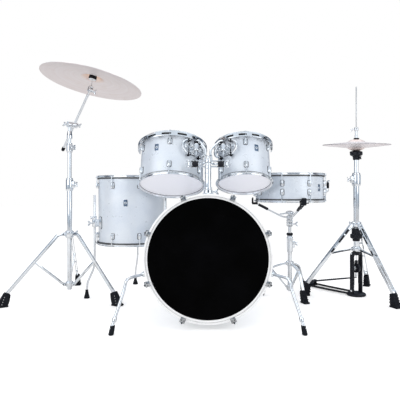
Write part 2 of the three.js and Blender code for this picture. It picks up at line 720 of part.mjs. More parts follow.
// ---- snare stand ----
const standTube = { low: 12, high: 9 };
function bentTripod(c, spec, collarR, hubR, jointR, jointZ, foot) {
  const parts = [];
  for (const deg of spec.feet) {
    parts.push(
      channelLeg(c, deg, [[collarR - 4, spec.collarZ], [jointR, jointZ], [spec.reach, 16]]),
      channelLeg(c, deg, [[hubR - 4, spec.hubZ], [jointR, jointZ]], 9),
      footBlock(c, deg, spec.reach, foot),
    );
  }
  return join(parts);
}
const standFoot = { long: 46, wide: 26, high: 44 };
let standBase = join(
  turned([[0, 30], [10, 30], [standTube.low, 36], [standTube.low, 245], [0, 245]], 12)
    .translate([STAND.x, STAND.y, 0]),
  clampCollar(STAND, 237, 328, 17, 20),
  turned([[0, 166], [22, 170], [22, 186], [0, 192]], 10).translate([STAND.x, STAND.y, 0]),
  turned([[0, 34], [18, 38], [18, 56], [0, 60]], 10).translate([STAND.x, STAND.y, 0]),
  bentTripod(STAND, STAND, 22, 18, 98, 146, standFoot),
);
const standZ = (z) => [STAND.x, STAND.y, z];
standBase = standBase.subtract(rod(standZ(90), standZ(340), standTube.high + GAP, 12));
piece("snare_stand_base", standBase, finish.chrome);

const TILT = { z: 390, r: 13, half: 8 };
piece(
  "snare_stand_tube",
  join(
    rod(standZ(150), standZ(TILT.z - 18), standTube.high, 12),
    rod(standZ(TILT.z - 20), standZ(TILT.z), 7, 12),
    rod([STAND.x - TILT.half, STAND.y, TILT.z], [STAND.x + TILT.half, STAND.y, TILT.z], TILT.r, 12),
    turned([[0, 329.5], [16, 329.5], [18, 333], [18, 339], [16, 343], [0, 343]], 12)
      .translate([STAND.x, STAND.y, 0]),
  ),
  finish.chrome,
);

const basketParts = [
  block([STAND.x, STAND.y, TILT.z + TILT.r + 6], [36, 20, 10]),
  rod(standZ(TILT.z + TILT.r + 4), standZ(BASKET.hubZ + 10), 7, 10),
  turned([[0, 440], [18, 440], [24, 446], [24, 458], [18, 464], [0, 464]], 12)
    .translate([STAND.x, STAND.y, 0]),
];
for (const s of [-1, 1]) {
  const x0 = STAND.x + s * (TILT.half + GAP);
  const x1 = STAND.x + s * (TILT.half + 8);
  basketParts.push(rod([x0, STAND.y, TILT.z], [x1, STAND.y, TILT.z], TILT.r, 12));
  basketParts.push(block([(x0 + x1) / 2, STAND.y, TILT.z + 12], [x1 - x0 - 0.02, 18, 24]));
}
basketParts.push(
  rod([STAND.x + 12, STAND.y, TILT.z], [STAND.x + 34, STAND.y, TILT.z], 3.5, 6),
  block([STAND.x + 35, STAND.y, TILT.z], [5, 28, 9]),
);
const hoopFoot = SNARE.at[2] - HOOP_LIP; // underside of the snare's lower hoop
for (const deg of BASKET.arms) {
  const at = (r, z) => polar(STAND, deg, r, z);
  basketParts.push(
    bent([at(10, 452), at(60, 458), at(120, 474), at(165, 494), at(188, 500)], 5, 5, 5),
    block(at(189, hoopFoot - GAP - 7), [34, 24, 14], deg),
    block(at(199.5, hoopFoot + 6), [9.4, 24, 38], deg),
  );
}
piece("snare_basket", join(basketParts), finish.chrome);

// ---- crash stand ----
const crashLeg = CRASH_SHOULDER.map(([out, up]) => [CRASH_PIVOT_R + out, CRASH.collarZ + up]);
const crashAnkle = [CRASH.reach + CRASH_ANKLE[0], CRASH_ANKLE[1]];
// strut and leg meet on the leg's straight run, midway between the two hubs
const jointZ = (CRASH.collarZ + CRASH.hubZ) / 2;
const [kneeR, kneeZ] = crashLeg[crashLeg.length - 1];
const jointR = kneeR + ((crashAnkle[0] - kneeR) * (kneeZ - jointZ)) / (kneeZ - crashAnkle[1]);
const crashTube = { base: 12.5, middle: 10, top: 7.5 };
const crashZ = (z) => [CRASH.x, CRASH.y, z];
const crashTurned = (profile, sides = 12) => turned(profile, sides).translate([CRASH.x, CRASH.y, 0]);

const STRUT = { thick: STRIP.gap - 2 * GAP, wide: 14 };
let crashBase = join(
  crashTurned([[0, 44], [9, 44], [crashTube.base, 50], [crashTube.base, 580], [0, 580]]),
  crashTurned([[0, 60], [20, 62], [20, 86], [0, 90]], 10),
  clampCollar(CRASH, 569, CRASH_JOINT.lower, 19, -20),
  CRASH.feet.map((deg) => [
    ...ears(CRASH, deg, 15, CRASH_PIVOT_R + 6, CRASH.hubZ, STRUT.thick + 2 * GAP),
    pin(CRASH, deg, CRASH_PIVOT_R, CRASH.hubZ, STRUT.thick / 2 + 5),
  ]).flat(),
);
crashBase = crashBase.subtract(rod(crashZ(300), crashZ(700), crashTube.middle + GAP, 12));
piece("crash_base_tube", crashBase, finish.chrome);

const legPack = STRIP.gap + 2 * STRIP.thick; // over both strips
let collar = join(
  crashTurned([[0, 322], [22, 324], [22, 354], [0, 358]]),
  wing(CRASH, 35, 24, 344),
  CRASH.feet.map((deg) => [
    ...ears(CRASH, deg, 17, CRASH_PIVOT_R + 8, CRASH.collarZ, legPack + 2 * GAP, 18),
    pin(CRASH, deg, CRASH_PIVOT_R, CRASH.collarZ, legPack / 2 + 3),
  ]).flat(),
);
collar = collar.subtract(rod(crashZ(300), crashZ(380), crashTube.base + GAP, 12));
piece("crash_leg_collar", collar, finish.chrome);

const crashFoot = { long: 55, wide: 34, high: 72, lean: 23 };
CRASH.feet.forEach((deg, i) => {
  const letter = "abc"[i];
  let leg = twinLeg(CRASH, deg, [...crashLeg, crashAnkle], STRIP);
  const side = [-Math.sin(rad(deg)), Math.cos(rad(deg)), 0];
  const nose = [-1, 1].map((s) => {
    const p = polar(CRASH, deg, CRASH_PIVOT_R, CRASH.collarZ);
    const near = s * (STRIP.gap / 2);
    const far = s * (legPack / 2);
    return rod(
      [p[0] + side[0] * near, p[1] + side[1] * near, p[2]],
      [p[0] + side[0] * far, p[1] + side[1] * far, p[2]],
      STRIP.wide / 2,
      8,
    );
  });
  const spacer = pin(CRASH, deg, kneeR, kneeZ, STRIP.gap / 2 + 1, 4);
  leg = join(leg, nose, spacer, footBlock(CRASH, deg, CRASH.reach, crashFoot));
  leg = leg.subtract(pin(CRASH, deg, CRASH_PIVOT_R, CRASH.collarZ, 20, PIN_HOLE_R));
  piece(`crash_leg_${letter}`, leg, finish.chrome);

  const low = polar(CRASH, deg, CRASH_PIVOT_R, CRASH.hubZ);
  const high = polar(CRASH, deg, jointR, jointZ);
  const half = STRUT.thick / 2;
  const eye = rod(
    [low[0] - side[0] * half, low[1] - side[1] * half, low[2]],
    [low[0] + side[0] * half, low[1] + side[1] * half, low[2]],
    7,
    8,
  );
  const strut = join(bar(low, high, STRUT.thick, STRUT.wide, side), eye);
  const hole = pin(CRASH, deg, CRASH_PIVOT_R, CRASH.hubZ, 12, PIN_HOLE_R);
  piece(`crash_strut_${letter}`, strut.subtract(hole), finish.chrome);
});

let middle = join(
  rod(crashZ(465), crashZ(780), crashTube.middle, 12),
  clampCollar(CRASH, 773, CRASH_JOINT.middle, 16, -35),
);
middle = middle.subtract(rod(crashZ(500), crashZ(850), crashTube.top + GAP, 12));
piece("crash_middle_tube", middle, finish.chrome);

// boom: its line passes beside the tube and ends at the tilter
const crashUp = vec(CRASH_NORMAL).normalize();
const pivot = vec(CRASH_CENTRE).addScaledVector(crashUp, -TILTER_DROP);
const clampPoint = vec(crashZ(CRASH_JOINT.boom));
const flat = pivot.clone().sub(clampPoint).setZ(0);
const boomHeading = Math.atan2(flat.y, flat.x) - Math.asin(BOOM_OFFSET / flat.length());
const boomReach = Math.sqrt(flat.length() ** 2 - BOOM_OFFSET ** 2);
const boomSide = new THREE.Vector3(-Math.sin(boomHeading), Math.cos(boomHeading), 0);
const boomDir = new THREE.Vector3(
  Math.cos(boomHeading) * boomReach,
  Math.sin(boomHeading) * boomReach,
  pivot.z - clampPoint.z,
).normalize();
const onBoom = (side, along) =>
  clampPoint.clone().addScaledVector(boomSide, side).addScaledVector(boomDir, along).toArray();

piece(
  "crash_top_tube",
  join(
    rod(crashZ(600), crashZ(CRASH_JOINT.boom - 12), crashTube.top, 12),
    crashTurned([[0, 847], [13, 847], [14, 866], [9, 890], [0, 890]]),
    rod(onBoom(-12, 0), onBoom(10, 0), 16, 12),
    rod(onBoom(-14, 0), onBoom(-26, 0), 4, 6),
    rod(onBoom(-10, 0), onBoom(-16, 0), 8, 8),
    bar(onBoom(-26, -14), onBoom(-26, 14), 5, 9, boomSide.toArray()),
  ),
  finish.chrome,
);

const boomLength = pivot.clone().sub(vec(onBoom(BOOM_OFFSET, 0))).length();
// tilter axis: square to the cymbal's stem, as near level as the boom lets it be
const tiltAxis = boomSide
  .clone()
  .addScaledVector(crashUp, -boomSide.dot(crashUp))
  .normalize();
const disc = (at, axis, from, to, r, sides = 12) =>
  rod(
    vec(at).addScaledVector(axis, from).toArray(),
    vec(at).addScaledVector(axis, to).toArray(),
    r,
    sides,
  );
const TILTER = { r: 11, half: 6.5, cheek: 5 };
piece(
  "crash_boom_arm",
  join(
    rod(onBoom(10 + GAP, 0), onBoom(42, 0), 16, 12),
    rod(onBoom(40, 0), onBoom(54, 0), 4, 6),
    bar(onBoom(56, -14), onBoom(56, 14), 5, 9, boomSide.toArray()),
    rod(onBoom(BOOM_OFFSET, -BOOM_TAIL), onBoom(BOOM_OFFSET, boomLength - 22), 6, 10),
    rod(onBoom(BOOM_OFFSET, -BOOM_TAIL), onBoom(BOOM_OFFSET, -BOOM_TAIL + 22), 9, 8),
    rod(onBoom(BOOM_OFFSET, boomLength - 26), onBoom(BOOM_OFFSET, boomLength - 3), 3.5, 6),
    disc(pivot.toArray(), tiltAxis, -TILTER.half, TILTER.half, TILTER.r, 10),
  ),
  finish.chrome,
);

const CYMBAL_SKIN = 1.4;
// Cymbal of radius r with its rim plane at z = 0 and the bell up.
function cymbal(r, bell, bellHigh, bow, hole, sides = 22) {
  const top = [
    [r, 0],
    [bell + 4, bow],
    [bell * 0.66, bow + bellHigh * 0.76],
    [hole, bow + bellHigh],
  ];
  const low = top.map(([x, z]) => [x, z - CYMBAL_SKIN]).reverse();
  return turned([...top, ...low], sides, true);
}
const CRASH_SHAPE = { bell: 48, bellHigh: 22, bow: 26, hole: 7 };
const crashBellZ = CRASH_SHAPE.bow + CRASH_SHAPE.bellHigh;
const inCrash = (body) =>
  placed(body, CRASH_CENTRE, CRASH_NORMAL, tiltAxis.toArray());
piece(
  "crash_cymbal",
  inCrash(
    cymbal(CRASH_R, CRASH_SHAPE.bell, CRASH_SHAPE.bellHigh, CRASH_SHAPE.bow, CRASH_SHAPE.hole),
  ),
  finish.bronze,
);

const tilterFloor = -TILTER_DROP + TILTER.r + 3;
const tilterParts = [
  inCrash(turned([[0, tilterFloor], [9, tilterFloor], [9, -16], [4, -12], [4, 20], [0, 20]], 8)),
  inCrash(
    turned(
      [
        [0, 18],
        [20, 18],
        [20, crashBellZ - CYMBAL_SKIN - 8],
        [13, crashBellZ - CYMBAL_SKIN - GAP - 1.2],
        [5.6, crashBellZ - CYMBAL_SKIN - GAP],
        [5.6, crashBellZ + GAP],
        [16, crashBellZ + GAP],
        [17, crashBellZ + 9],
        [4, crashBellZ + 11],
        [4, crashBellZ + 27],
        [0, crashBellZ + 27],
      ],
      8,
    ),
  ),
  inCrash(block([0, 0, crashBellZ + 16], [34, 7, 12])),
  inCrash(block([0, 0, tilterFloor + 2], [2 * (TILTER.half + TILTER.cheek), 16, 8])),
];
for (const s of [-1, 1]) {
  const from = s * (TILTER.half + GAP);
  const to = s * (TILTER.half + TILTER.cheek);
  tilterParts.push(disc(pivot.toArray(), tiltAxis, from, to, TILTER.r, 10));
  tilterParts.push(
    inCrash(
      block([(from + to) / 2, 0, -TILTER_DROP + 8], [Math.abs(to - from) - 0.02, 14, 20]),
    ),
  );
}
tilterParts.push(
  disc(pivot.toArray(), tiltAxis, TILTER.half + 3, TILTER.half + 20, 3.5, 5),
  bar(
    pivot.clone().addScaledVector(tiltAxis, 27).addScaledVector(boomDir, -13).toArray(),
    pivot.clone().addScaledVector(tiltAxis, 27).addScaledVector(boomDir, 13).toArray(),
    5,
    9,
    tiltAxis.toArray(),
  ),
);
piece("crash_tilter", join(tilterParts), finish.black);

// ---- hi-hat stand ----
const hatZ = (z) => [HAT.x, HAT.y, z];
const hatTurned = (profile, sides = 12) => turned(profile, sides).translate([HAT.x, HAT.y, 0]);
const pedalFwd = [Math.cos(rad(PEDAL.heading)), Math.sin(rad(PEDAL.heading))];
const pedalLat = [-pedalFwd[1], pedalFwd[0]];
// a point in the pedal's own frame: along towards the toe, lateral, up
const pedalPoint = (along, lat, z) => [
  HAT.x + pedalFwd[0] * along + pedalLat[0] * lat,
  HAT.y + pedalFwd[1] * along + pedalLat[1] * lat,
  z,
];
const HAT_ROD_R = 3;
const HAT_TUBE = { low: 15, high: 11, bore: 3.6 };
const FRAME = { half: 38, wide: 12, deep: 22, top: 240, base: 20 };
const HEEL = -PEDAL.length; // heel pivot, along the pedal from the rod's axis

let hatFrame = join(
  [-1, 1].map((s) =>
    block(pedalPoint(0, s * FRAME.half, FRAME.top / 2 + 4), [FRAME.deep, FRAME.wide, FRAME.top - 12],
      PEDAL.heading),
  ),
  block(pedalPoint(0, 0, FRAME.top - 9), [FRAME.deep, 2 * FRAME.half + 6, 18], PEDAL.heading),
  turned([[0, 0], [50, 0], [52, 6], [46, FRAME.base], [0, FRAME.base]], 14)
    .translate([HAT.x, HAT.y, 0]),
  [-1, 1].map((s) => rod(pedalPoint(-20, s * 30, 10), pedalPoint(HEEL + 4, s * 34, 8), 6, 6)),
  block(pedalPoint(HEEL, 0, 6), [44, 92, 12], PEDAL.heading),
  [-1, 1].map((s) =>
    block(pedalPoint(HEEL, s * 43, PEDAL.heelZ / 2 + 5), [22, 6, PEDAL.heelZ + 6], PEDAL.heading),
  ),
  rod(pedalPoint(HEEL, -44, PEDAL.heelZ), pedalPoint(HEEL, 44, PEDAL.heelZ), 4, 8),
);
hatFrame = hatFrame.subtract(rod(hatZ(200), hatZ(260), HAT_TUBE.bore, 8));
piece("hihat_frame", hatFrame, finish.black);

let hatTube = join(
  hatTurned([[0, FRAME.top + GAP], [22, FRAME.top + GAP], [24, 262], [HAT_TUBE.low, 268], [0, 268]]),
  rod(hatZ(262), hatZ(640), HAT_TUBE.low, 12),
  hatTurned([[0, 292], [20, 292], [32, 306], [33, 334], [25, 342], [25, 366], [0, 368]]),
  clampCollar(HAT, 596, 667, 23, 195),
);
hatTube = hatTube
  .subtract(rod(hatZ(230), hatZ(700), HAT_TUBE.bore, 8))
  .subtract(rod(hatZ(400), hatZ(700), HAT_TUBE.high + GAP, 12));
piece("hihat_lower_tube", hatTube, finish.chrome);

// tripod: collar, three twin-strip legs and their braces
const hatFoot = { long: 52, wide: 36, high: 74, lean: 14 };
const HAT_STRIP = { wide: 13, thick: 4, gap: 16 };
const HAT_JOINT = { r: 146, z: 250 };
const hatLegs = HAT_FEET.map((deg) => {
  const side = [-Math.sin(rad(deg)), Math.cos(rad(deg)), 0];
  const inner = [24, HAT_COLLAR_Z];
  const outer = [HAT_REACH - 8, 66];
  const t = (HAT_JOINT.r - inner[0]) / (outer[0] - inner[0]);
  const jz = inner[1] + (outer[1] - inner[1]) * t;
  return join(
    twinLeg(HAT, deg, [inner, outer], HAT_STRIP),
    footBlock(HAT, deg, HAT_REACH, hatFoot),
    pin(HAT, deg, HAT_JOINT.r, jz, HAT_STRIP.gap / 2 + 1, 4),
    bar(polar(HAT, deg, 24 + GAP, HAT_HUB_Z), polar(HAT, deg, HAT_JOINT.r, jz), 8, 9, side),
  );
});
let tripod = join(
  hatTurned([[0, 370], [22, 370], [27, 376], [27, 396], [22, 402], [0, 402]]),
  hatLegs,
  wing(HAT, 120, 30, 386),
);
tripod = tripod.subtract(rod(hatZ(360), hatZ(410), HAT_TUBE.low + GAP, 12));
tripod = tripod.subtract(rod(hatZ(230), hatZ(275), 24 + GAP, 12));
piece("hihat_tripod", tripod, finish.chrome);

const hatRim = { low: HAT.edgeZ - 0.5 - CYMBAL_SKIN, high: HAT.edgeZ + 0.5 + CYMBAL_SKIN };
const HAT_SHAPE = { bell: 42, bellHigh: 14, bow: 14, hole: 7.5, lowHole: 9 };
const hatBell = HAT_SHAPE.bow + HAT_SHAPE.bellHigh;
const cupTop = hatRim.low - hatBell - GAP;
const hatUp = [0, -Math.sin(rad(HAT_LEAN)), Math.cos(rad(HAT_LEAN))];
// heights of a leaning piece are given from the pair's meeting plane
const leaning = (body) => placed(body, hatZ(HAT.edgeZ), hatUp);
const seatTop = cupTop - HAT.edgeZ;
let hatUpper = join(
  rod(hatZ(470), hatZ(750), HAT_TUBE.high, 12),
  hatTurned([
    [0, 738],
    [18, 738],
    [20, 760],
    [33, 766],
    [33, cupTop - 10],
    [0, cupTop - 10],
  ]),
  leaning(turned([
    [0, seatTop - 16],
    [33, seatTop - 16],
    [34, seatTop - 6],
    [22, seatTop],
    [0, seatTop],
  ], 12)),
);
hatUpper = hatUpper.subtract(rod(hatZ(460), hatZ(820), HAT_TUBE.bore, 8));
piece("hihat_upper_tube", hatUpper, finish.chrome);

const hatCymbal = (hole) =>
  cymbal(HAT.r, HAT_SHAPE.bell, HAT_SHAPE.bellHigh, HAT_SHAPE.bow, hole);
piece(
  "hihat_bottom_cymbal",
  leaning(raise(flip(hatCymbal(HAT_SHAPE.lowHole)), hatRim.low - HAT.edgeZ)),
  finish.bronze,
);
piece(
  "hihat_top_cymbal",
  leaning(raise(hatCymbal(HAT_SHAPE.hole), hatRim.high - HAT.edgeZ)),
  finish.bronze,
);

const hatTop = hatRim.high + hatBell;
const bellTop = hatTop - HAT.edgeZ;
const LINK = { low: 0, high: 178 };
const toe = { along: 0, z: PEDAL.toeZ };
const pedalRise = Math.atan2(toe.z - PEDAL.heelZ, PEDAL.length);
LINK.low = toe.z + 5 - 0.4;
const pullRod = join(
  rod(hatZ(LINK.high - 10), hatZ(HAT.rodTop), HAT_ROD_R, 8),
  leaning(turned([
    [0, bellTop - CYMBAL_SKIN - 14],
    [12, bellTop - CYMBAL_SKIN - 14],
    [12, bellTop - CYMBAL_SKIN - 3],
    [6.4, bellTop - CYMBAL_SKIN - GAP],
    [6.4, bellTop + GAP],
    [16, bellTop + GAP],
    [17, bellTop + 8],
    [0, bellTop + 9],
  ], 10)),
  hatTurned([[0, hatTop + 4], [8, hatTop + 4], [8, 900], [11, 904], [9, 916], [0, 916]], 10),
  wing(HAT, 150, 14, 906),
  disc(hatZ(LINK.high - 30), vec([...pedalLat, 0]), -9, 9, 24, 12),
  block(hatZ((LINK.low + LINK.high - 40) / 2), [8, 14, LINK.high - 40 - LINK.low], PEDAL.heading),
);
piece("hihat_pull_rod", pullRod, finish.chrome);

// footboard: a tapered plate hinged on the heel pin, with its toe under the chain
const boardUp = [
  -pedalFwd[0] * Math.sin(pedalRise),
  -pedalFwd[1] * Math.sin(pedalRise),
  Math.cos(pedalRise),
];
const plateShape = new THREE.Shape();
plateShape.moveTo(14, -PEDAL.width / 2);
plateShape.lineTo(PEDAL.length * 0.62, -PEDAL.width / 2 + 2);
plateShape.lineTo(PEDAL.length - 10, -22);
plateShape.lineTo(PEDAL.length + 8, -10);
plateShape.lineTo(PEDAL.length + 8, 10);
plateShape.lineTo(PEDAL.length - 10, 22);
plateShape.lineTo(PEDAL.length * 0.62, PEDAL.width / 2 - 2);
plateShape.lineTo(14, PEDAL.width / 2);
plateShape.closePath();
const plate = new THREE.ExtrudeGeometry(plateShape, { depth: 6, bevelEnabled: false });
const board = join(
  solid(plate.translate(0, 0, -2)),
  rod([0, -36, 0], [0, 36, 0], 8, 10),
  block([10, 0, 0], [20, 64, 6]),
);
const boardX = [
  pedalFwd[0] * Math.cos(pedalRise),
  pedalFwd[1] * Math.cos(pedalRise),
  Math.sin(pedalRise),
];
const footboard = placed(board, pedalPoint(HEEL, 0, PEDAL.heelZ), boardUp, boardX)
  .subtract(rod(pedalPoint(HEEL, -60, PEDAL.heelZ), pedalPoint(HEEL, 60, PEDAL.heelZ), 4.4, 8));
piece("hihat_footboard", footboard, finish.black);

// ---- the row's frame: middle of the footprint, on the floor ----
const bounds = new THREE.Box3();
kit.traverse((node) => {
  if (!node.isMesh) return;
  node.geometry.computeBoundingBox();
  bounds.union(node.geometry.boundingBox);
});
const shift = bounds.getCenter(new THREE.Vector3()).setZ(bounds.min.z).negate();
kit.traverse((node) => {
  if (node.isMesh) node.geometry.translate(shift.x, shift.y, shift.z);
});

export default kit;
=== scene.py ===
"""Looks of the five-drum acoustic kit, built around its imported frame."""

import json
import math

import bmesh
import bpy
from mathutils import Matrix, Vector


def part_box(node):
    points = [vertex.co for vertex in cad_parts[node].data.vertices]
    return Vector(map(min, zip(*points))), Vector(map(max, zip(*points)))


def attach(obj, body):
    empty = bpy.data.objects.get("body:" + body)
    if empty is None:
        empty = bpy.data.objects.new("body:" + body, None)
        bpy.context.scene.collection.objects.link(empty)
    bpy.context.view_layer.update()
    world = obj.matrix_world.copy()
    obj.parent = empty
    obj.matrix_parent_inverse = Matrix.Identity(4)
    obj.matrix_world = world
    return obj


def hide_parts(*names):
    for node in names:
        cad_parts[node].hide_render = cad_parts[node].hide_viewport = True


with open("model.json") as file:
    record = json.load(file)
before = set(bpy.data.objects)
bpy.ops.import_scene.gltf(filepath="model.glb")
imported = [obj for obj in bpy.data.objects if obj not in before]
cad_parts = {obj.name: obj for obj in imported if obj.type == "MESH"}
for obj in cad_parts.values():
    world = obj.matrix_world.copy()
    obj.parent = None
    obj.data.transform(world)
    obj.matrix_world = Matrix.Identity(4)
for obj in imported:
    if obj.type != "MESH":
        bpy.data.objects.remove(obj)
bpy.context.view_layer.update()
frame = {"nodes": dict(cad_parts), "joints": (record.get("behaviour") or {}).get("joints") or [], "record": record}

MM = 0.001
STILL = Matrix.Identity(4)
UP = (0, 0, 1)
X = (1, 0, 0)
rad = math.radians
joints = {j["name"]: j for j in frame["joints"]}


def joint_at(name):
    return Vector(joints[name]["pos_m"]) / MM


# the layout's own origin: on the floor under the middle of the bass drum's front
HOLDER_Y = 180
holder_at = (joint_at("tom12_tilt") + joint_at("tom10_tilt")) / 2
HOME = Matrix.Translation((holder_at.x, holder_at.y - HOLDER_Y, 0))

# ---- camera ----
camera_data = bpy.data.cameras.new("front_camera")
camera_data.lens = 39.5
camera_data.sensor_width = 36
camera_data.shift_x = -0.02
camera_data.shift_y = -0.02
camera = bpy.data.objects.new("front_camera", camera_data)
camera.location = HOME @ Vector((0, -1800, 563.5)) * MM
camera.rotation_euler = (rad(90), 0, 0)
bpy.context.scene.collection.objects.link(camera)
bpy.context.scene.camera = camera
bpy.context.scene.view_settings.view_transform = "Standard"


# ---- materials ----
class Link:
    """One socket of a node tree, with the sums done on it."""

    def __init__(self, nodes, socket):
        self.nodes = nodes
        self.socket = socket

    def sum(self, operation, first, second):
        return self.nodes.node("ShaderNodeMath", {"operation": operation}, {0: first, 1: second})

    def __add__(self, other):
        return self.sum("ADD", self, other)

    def __sub__(self, other):
        return self.sum("SUBTRACT", self, other)

    def __rsub__(self, other):
        return self.sum("SUBTRACT", other, self)

    def __mul__(self, other):
        return self.sum("MULTIPLY", self, other)

    __radd__ = __add__
    __rmul__ = __mul__


class Nodes:
    """A node tree being built, and the coordinates that its patterns lie on."""

    def __init__(self, tree, coordinates):
        self.tree = tree
        self.place = self.node("ShaderNodeTexCoord", output=coordinates)

    def node(self, kind, settings=None, inputs=None, output=0):
        made = self.tree.nodes.new(kind)
        for key, value in (settings or {}).items():
            if key == "stops":
                ramp = made.color_ramp.elements
                for at, tone in value[2:]:
                    ramp.new(at)
                for element, (at, tone) in zip(ramp, value):
                    element.position = at
                    element.color = (*grey(tone), 1)
            else:
                setattr(made, key, value)
        for key, value in (inputs or {}).items():
            self.join(value, made.inputs[key])
        return Link(self, made.outputs[output])

    def join(self, value, socket):
        if isinstance(value, Link):
            self.tree.links.new(value.socket, socket)
        else:
            socket.default_value = value

    def noise(self, scale, detail=3.0, rough=0.55, stretch=None, where=None):
        """Noise on the object; a stretch of three scales draws it out into a grain."""
        where = where or self.place
        if stretch:
            where = self.node("ShaderNodeMapping", None, {"Vector": where, "Scale": stretch})
        inputs = {"Vector": where, "Scale": scale, "Detail": detail, "Roughness": rough}
        return self.node("ShaderNodeTexNoise", None, inputs)

    def ramp(self, value, low, high, start=0.0, end=1.0):
        inputs = {0: value, 1: low, 2: high, 3: start, 4: end}
        return self.node("ShaderNodeMapRange", {"clamp": True}, inputs)

    def tint(self, factor, start, end):
        start, end = (c if isinstance(c, Link) else (*c, 1) for c in (start, end))
        return self.node("ShaderNodeMix", {"data_type": "RGBA"}, {0: factor, 6: start, 7: end}, 2)


class Finish(Nodes):
    """A node material: linear values, and patterns on object coordinates in metres."""

    def __init__(self, name, color, roughness, metallic=0.0, **constants):
        self.material = bpy.data.materials.new(name)
        self.material.use_nodes = True
        super().__init__(self.material.node_tree, "Object")
        self.shader = self.tree.nodes["Principled BSDF"]
        self.material.diffuse_color = (*color, 1)
        self.set("Base Color", (*color, 1))
        self.set("Roughness", roughness)
        self.set("Metallic", metallic)
        for name, value in constants.items():
            self.set(name.replace("_", " ").title().replace("Ior", "IOR"), value)

    def set(self, name, value):
        self.join(value, self.shader.inputs[name])

    def relief(self, height, depth, strength=1.0):
        inputs = {"Height": height, "Distance": depth, "Strength": strength}
        self.set("Normal", self.node("ShaderNodeBump", None, inputs))

    def attribute(self, name):
        return self.node("ShaderNodeAttribute", {"attribute_name": name}, None, "Fac")


def grey(v):
    return (v, v, v)


def wrap_finish():
    f = Finish("pearl_wrap", (0.74, 0.79, 0.84), 0.3, coat_weight=0.35, coat_roughness=0.24)
    flakes = f.node("ShaderNodeTexVoronoi", None, {"Vector": f.place, "Scale": 900.0}, "Color")
    flake = f.node("ShaderNodeSeparateColor", None, {0: flakes})
    cloud = f.noise(9.0, 2.0)
    base = f.tint(f.ramp(cloud, 0.35, 0.65), (0.71, 0.77, 0.85), (0.79, 0.84, 0.90))
    glint = f.ramp(flake, 0.72, 1.0, 0.0, 0.55)
    f.set("Base Color", f.tint(glint, base, (0.93, 0.95, 0.97)))
    f.set("Metallic", f.ramp(flake, 0.5, 1.0, 0.05, 0.55))
    f.set("Roughness", f.ramp(f.noise(40.0, 4.0), 0.3, 0.7, 0.26, 0.4))
    f.relief(flake, 0.00004, 0.35)
    return f.material


def chrome_finish(name="polished_chrome", tone=0.84, low=0.04, high=0.12):
    f = Finish(name, (tone * 0.97, tone, tone * 1.03), low, 1.0)
    smudge = f.noise(28.0, 5.0, 0.65)
    hair = f.noise(60.0, 3.0, 0.7, (9.0, 9.0, 0.35))
    worn = f.ramp(smudge, 0.42, 0.72)
    f.set("Roughness", f.ramp(smudge * 0.7 + hair * 0.3, 0.35, 0.68, low, high))
    f.set("Base Color", f.tint(worn, (tone * 0.97, tone, tone * 1.03), grey(tone * 0.86)))
    f.relief(hair, 0.00003, 0.12)
    return f.material


def film_finish(name, light, dark, roughness, grain, through=0.0):
    """Polyester film; the argument through sets the strength of a painted glow in the film's own colour, standing
    in for light through it from the drum's other end.
    """
    f = Finish(name, light, roughness, specular_ior_level=0.4, emission_strength=through)
    stain = f.noise(7.0, 4.0, 0.6)
    speck = f.noise(1100.0, 2.0, 0.6)
    base = f.tint(f.ramp(stain, 0.4, 0.75), light, dark)
    grained = f.tint(f.ramp(speck, 0.35, 0.7, 0.0, 0.5), base, dark)
    f.set("Base Color", grained)
    # painted light: the film glows in its own colour at the strength given as through
    f.set("Emission Color", grained)
    f.set("Roughness", f.ramp(stain + speck * 0.3, 0.45, 0.85, roughness, roughness + 0.12))
    f.relief(speck, grain, 0.5)
    return f.material


def bronze_finish(name, light, dark, bell_tone, smooth, metal):
    """Cast bronze, lathed in rings: the ring attribute is the distance from the axis, in metres."""
    f = Finish(name, light, smooth, metal)
    ring = f.attribute("ring")
    wander = f.noise(14.0, 3.0) * 0.0016
    fine = f.node("ShaderNodeCombineXYZ", None, {0: (ring + wander) * 900.0})
    groove = f.noise(1.0, 3.0, 0.7, None, fine)
    broad = f.node("ShaderNodeCombineXYZ", None, {0: ring * 60.0})
    band = f.noise(1.0, 2.0, 0.5, None, broad)
    bell = f.ramp(ring, 0.028, 0.062)
    bow = f.tint(f.ramp(band, 0.35, 0.65), light, dark)
    base = f.tint(bell, bell_tone, bow)
    patina = f.ramp(f.noise(18.0, 5.0, 0.65), 0.5, 0.85, 0.0, 0.35)
    f.set("Base Color", f.tint(patina, base, (0.70, 0.58, 0.50)))
    f.set("Roughness", f.ramp(groove * 0.6 + patina * 0.4, 0.2, 0.7, smooth, smooth + 0.16))
    f.relief(groove, 0.00012, 0.5)
    return f.material


def worn_finish(name, tone, rough, wear, tones, patch, matt, depth, strength, scuff=None,
        grain=None, metal=0.0, **constants):
    """The common recipe. Wear tints the surface between two tones, scuffs or the wear itself change
    its gloss, and a grain or the wear itself stands up from it by depth, in metres."""
    f = Finish(name, tone, rough, metal, **constants)
    worn = f.noise(*wear)
    if tones:
        f.set("Base Color", f.tint(f.ramp(worn, *patch), *tones))
    if matt:
        f.set("Roughness", f.ramp(f.noise(*scuff) if scuff else worn, *matt))
    f.relief(f.noise(*grain) if grain else worn, depth, strength)
    return f.material


BRUSHED = (900.0, 2.0, 0.6, (0.03, 1.0, 1.0))


def plate_finish(name, low, high):
    return worn_finish(name, grey(high), 0.3, BRUSHED, (grey(low), grey(high)), (0.3, 0.7),
        (0.3, 0.7, 0.24, 0.4), 0.00006, 0.3, metal=1.0)


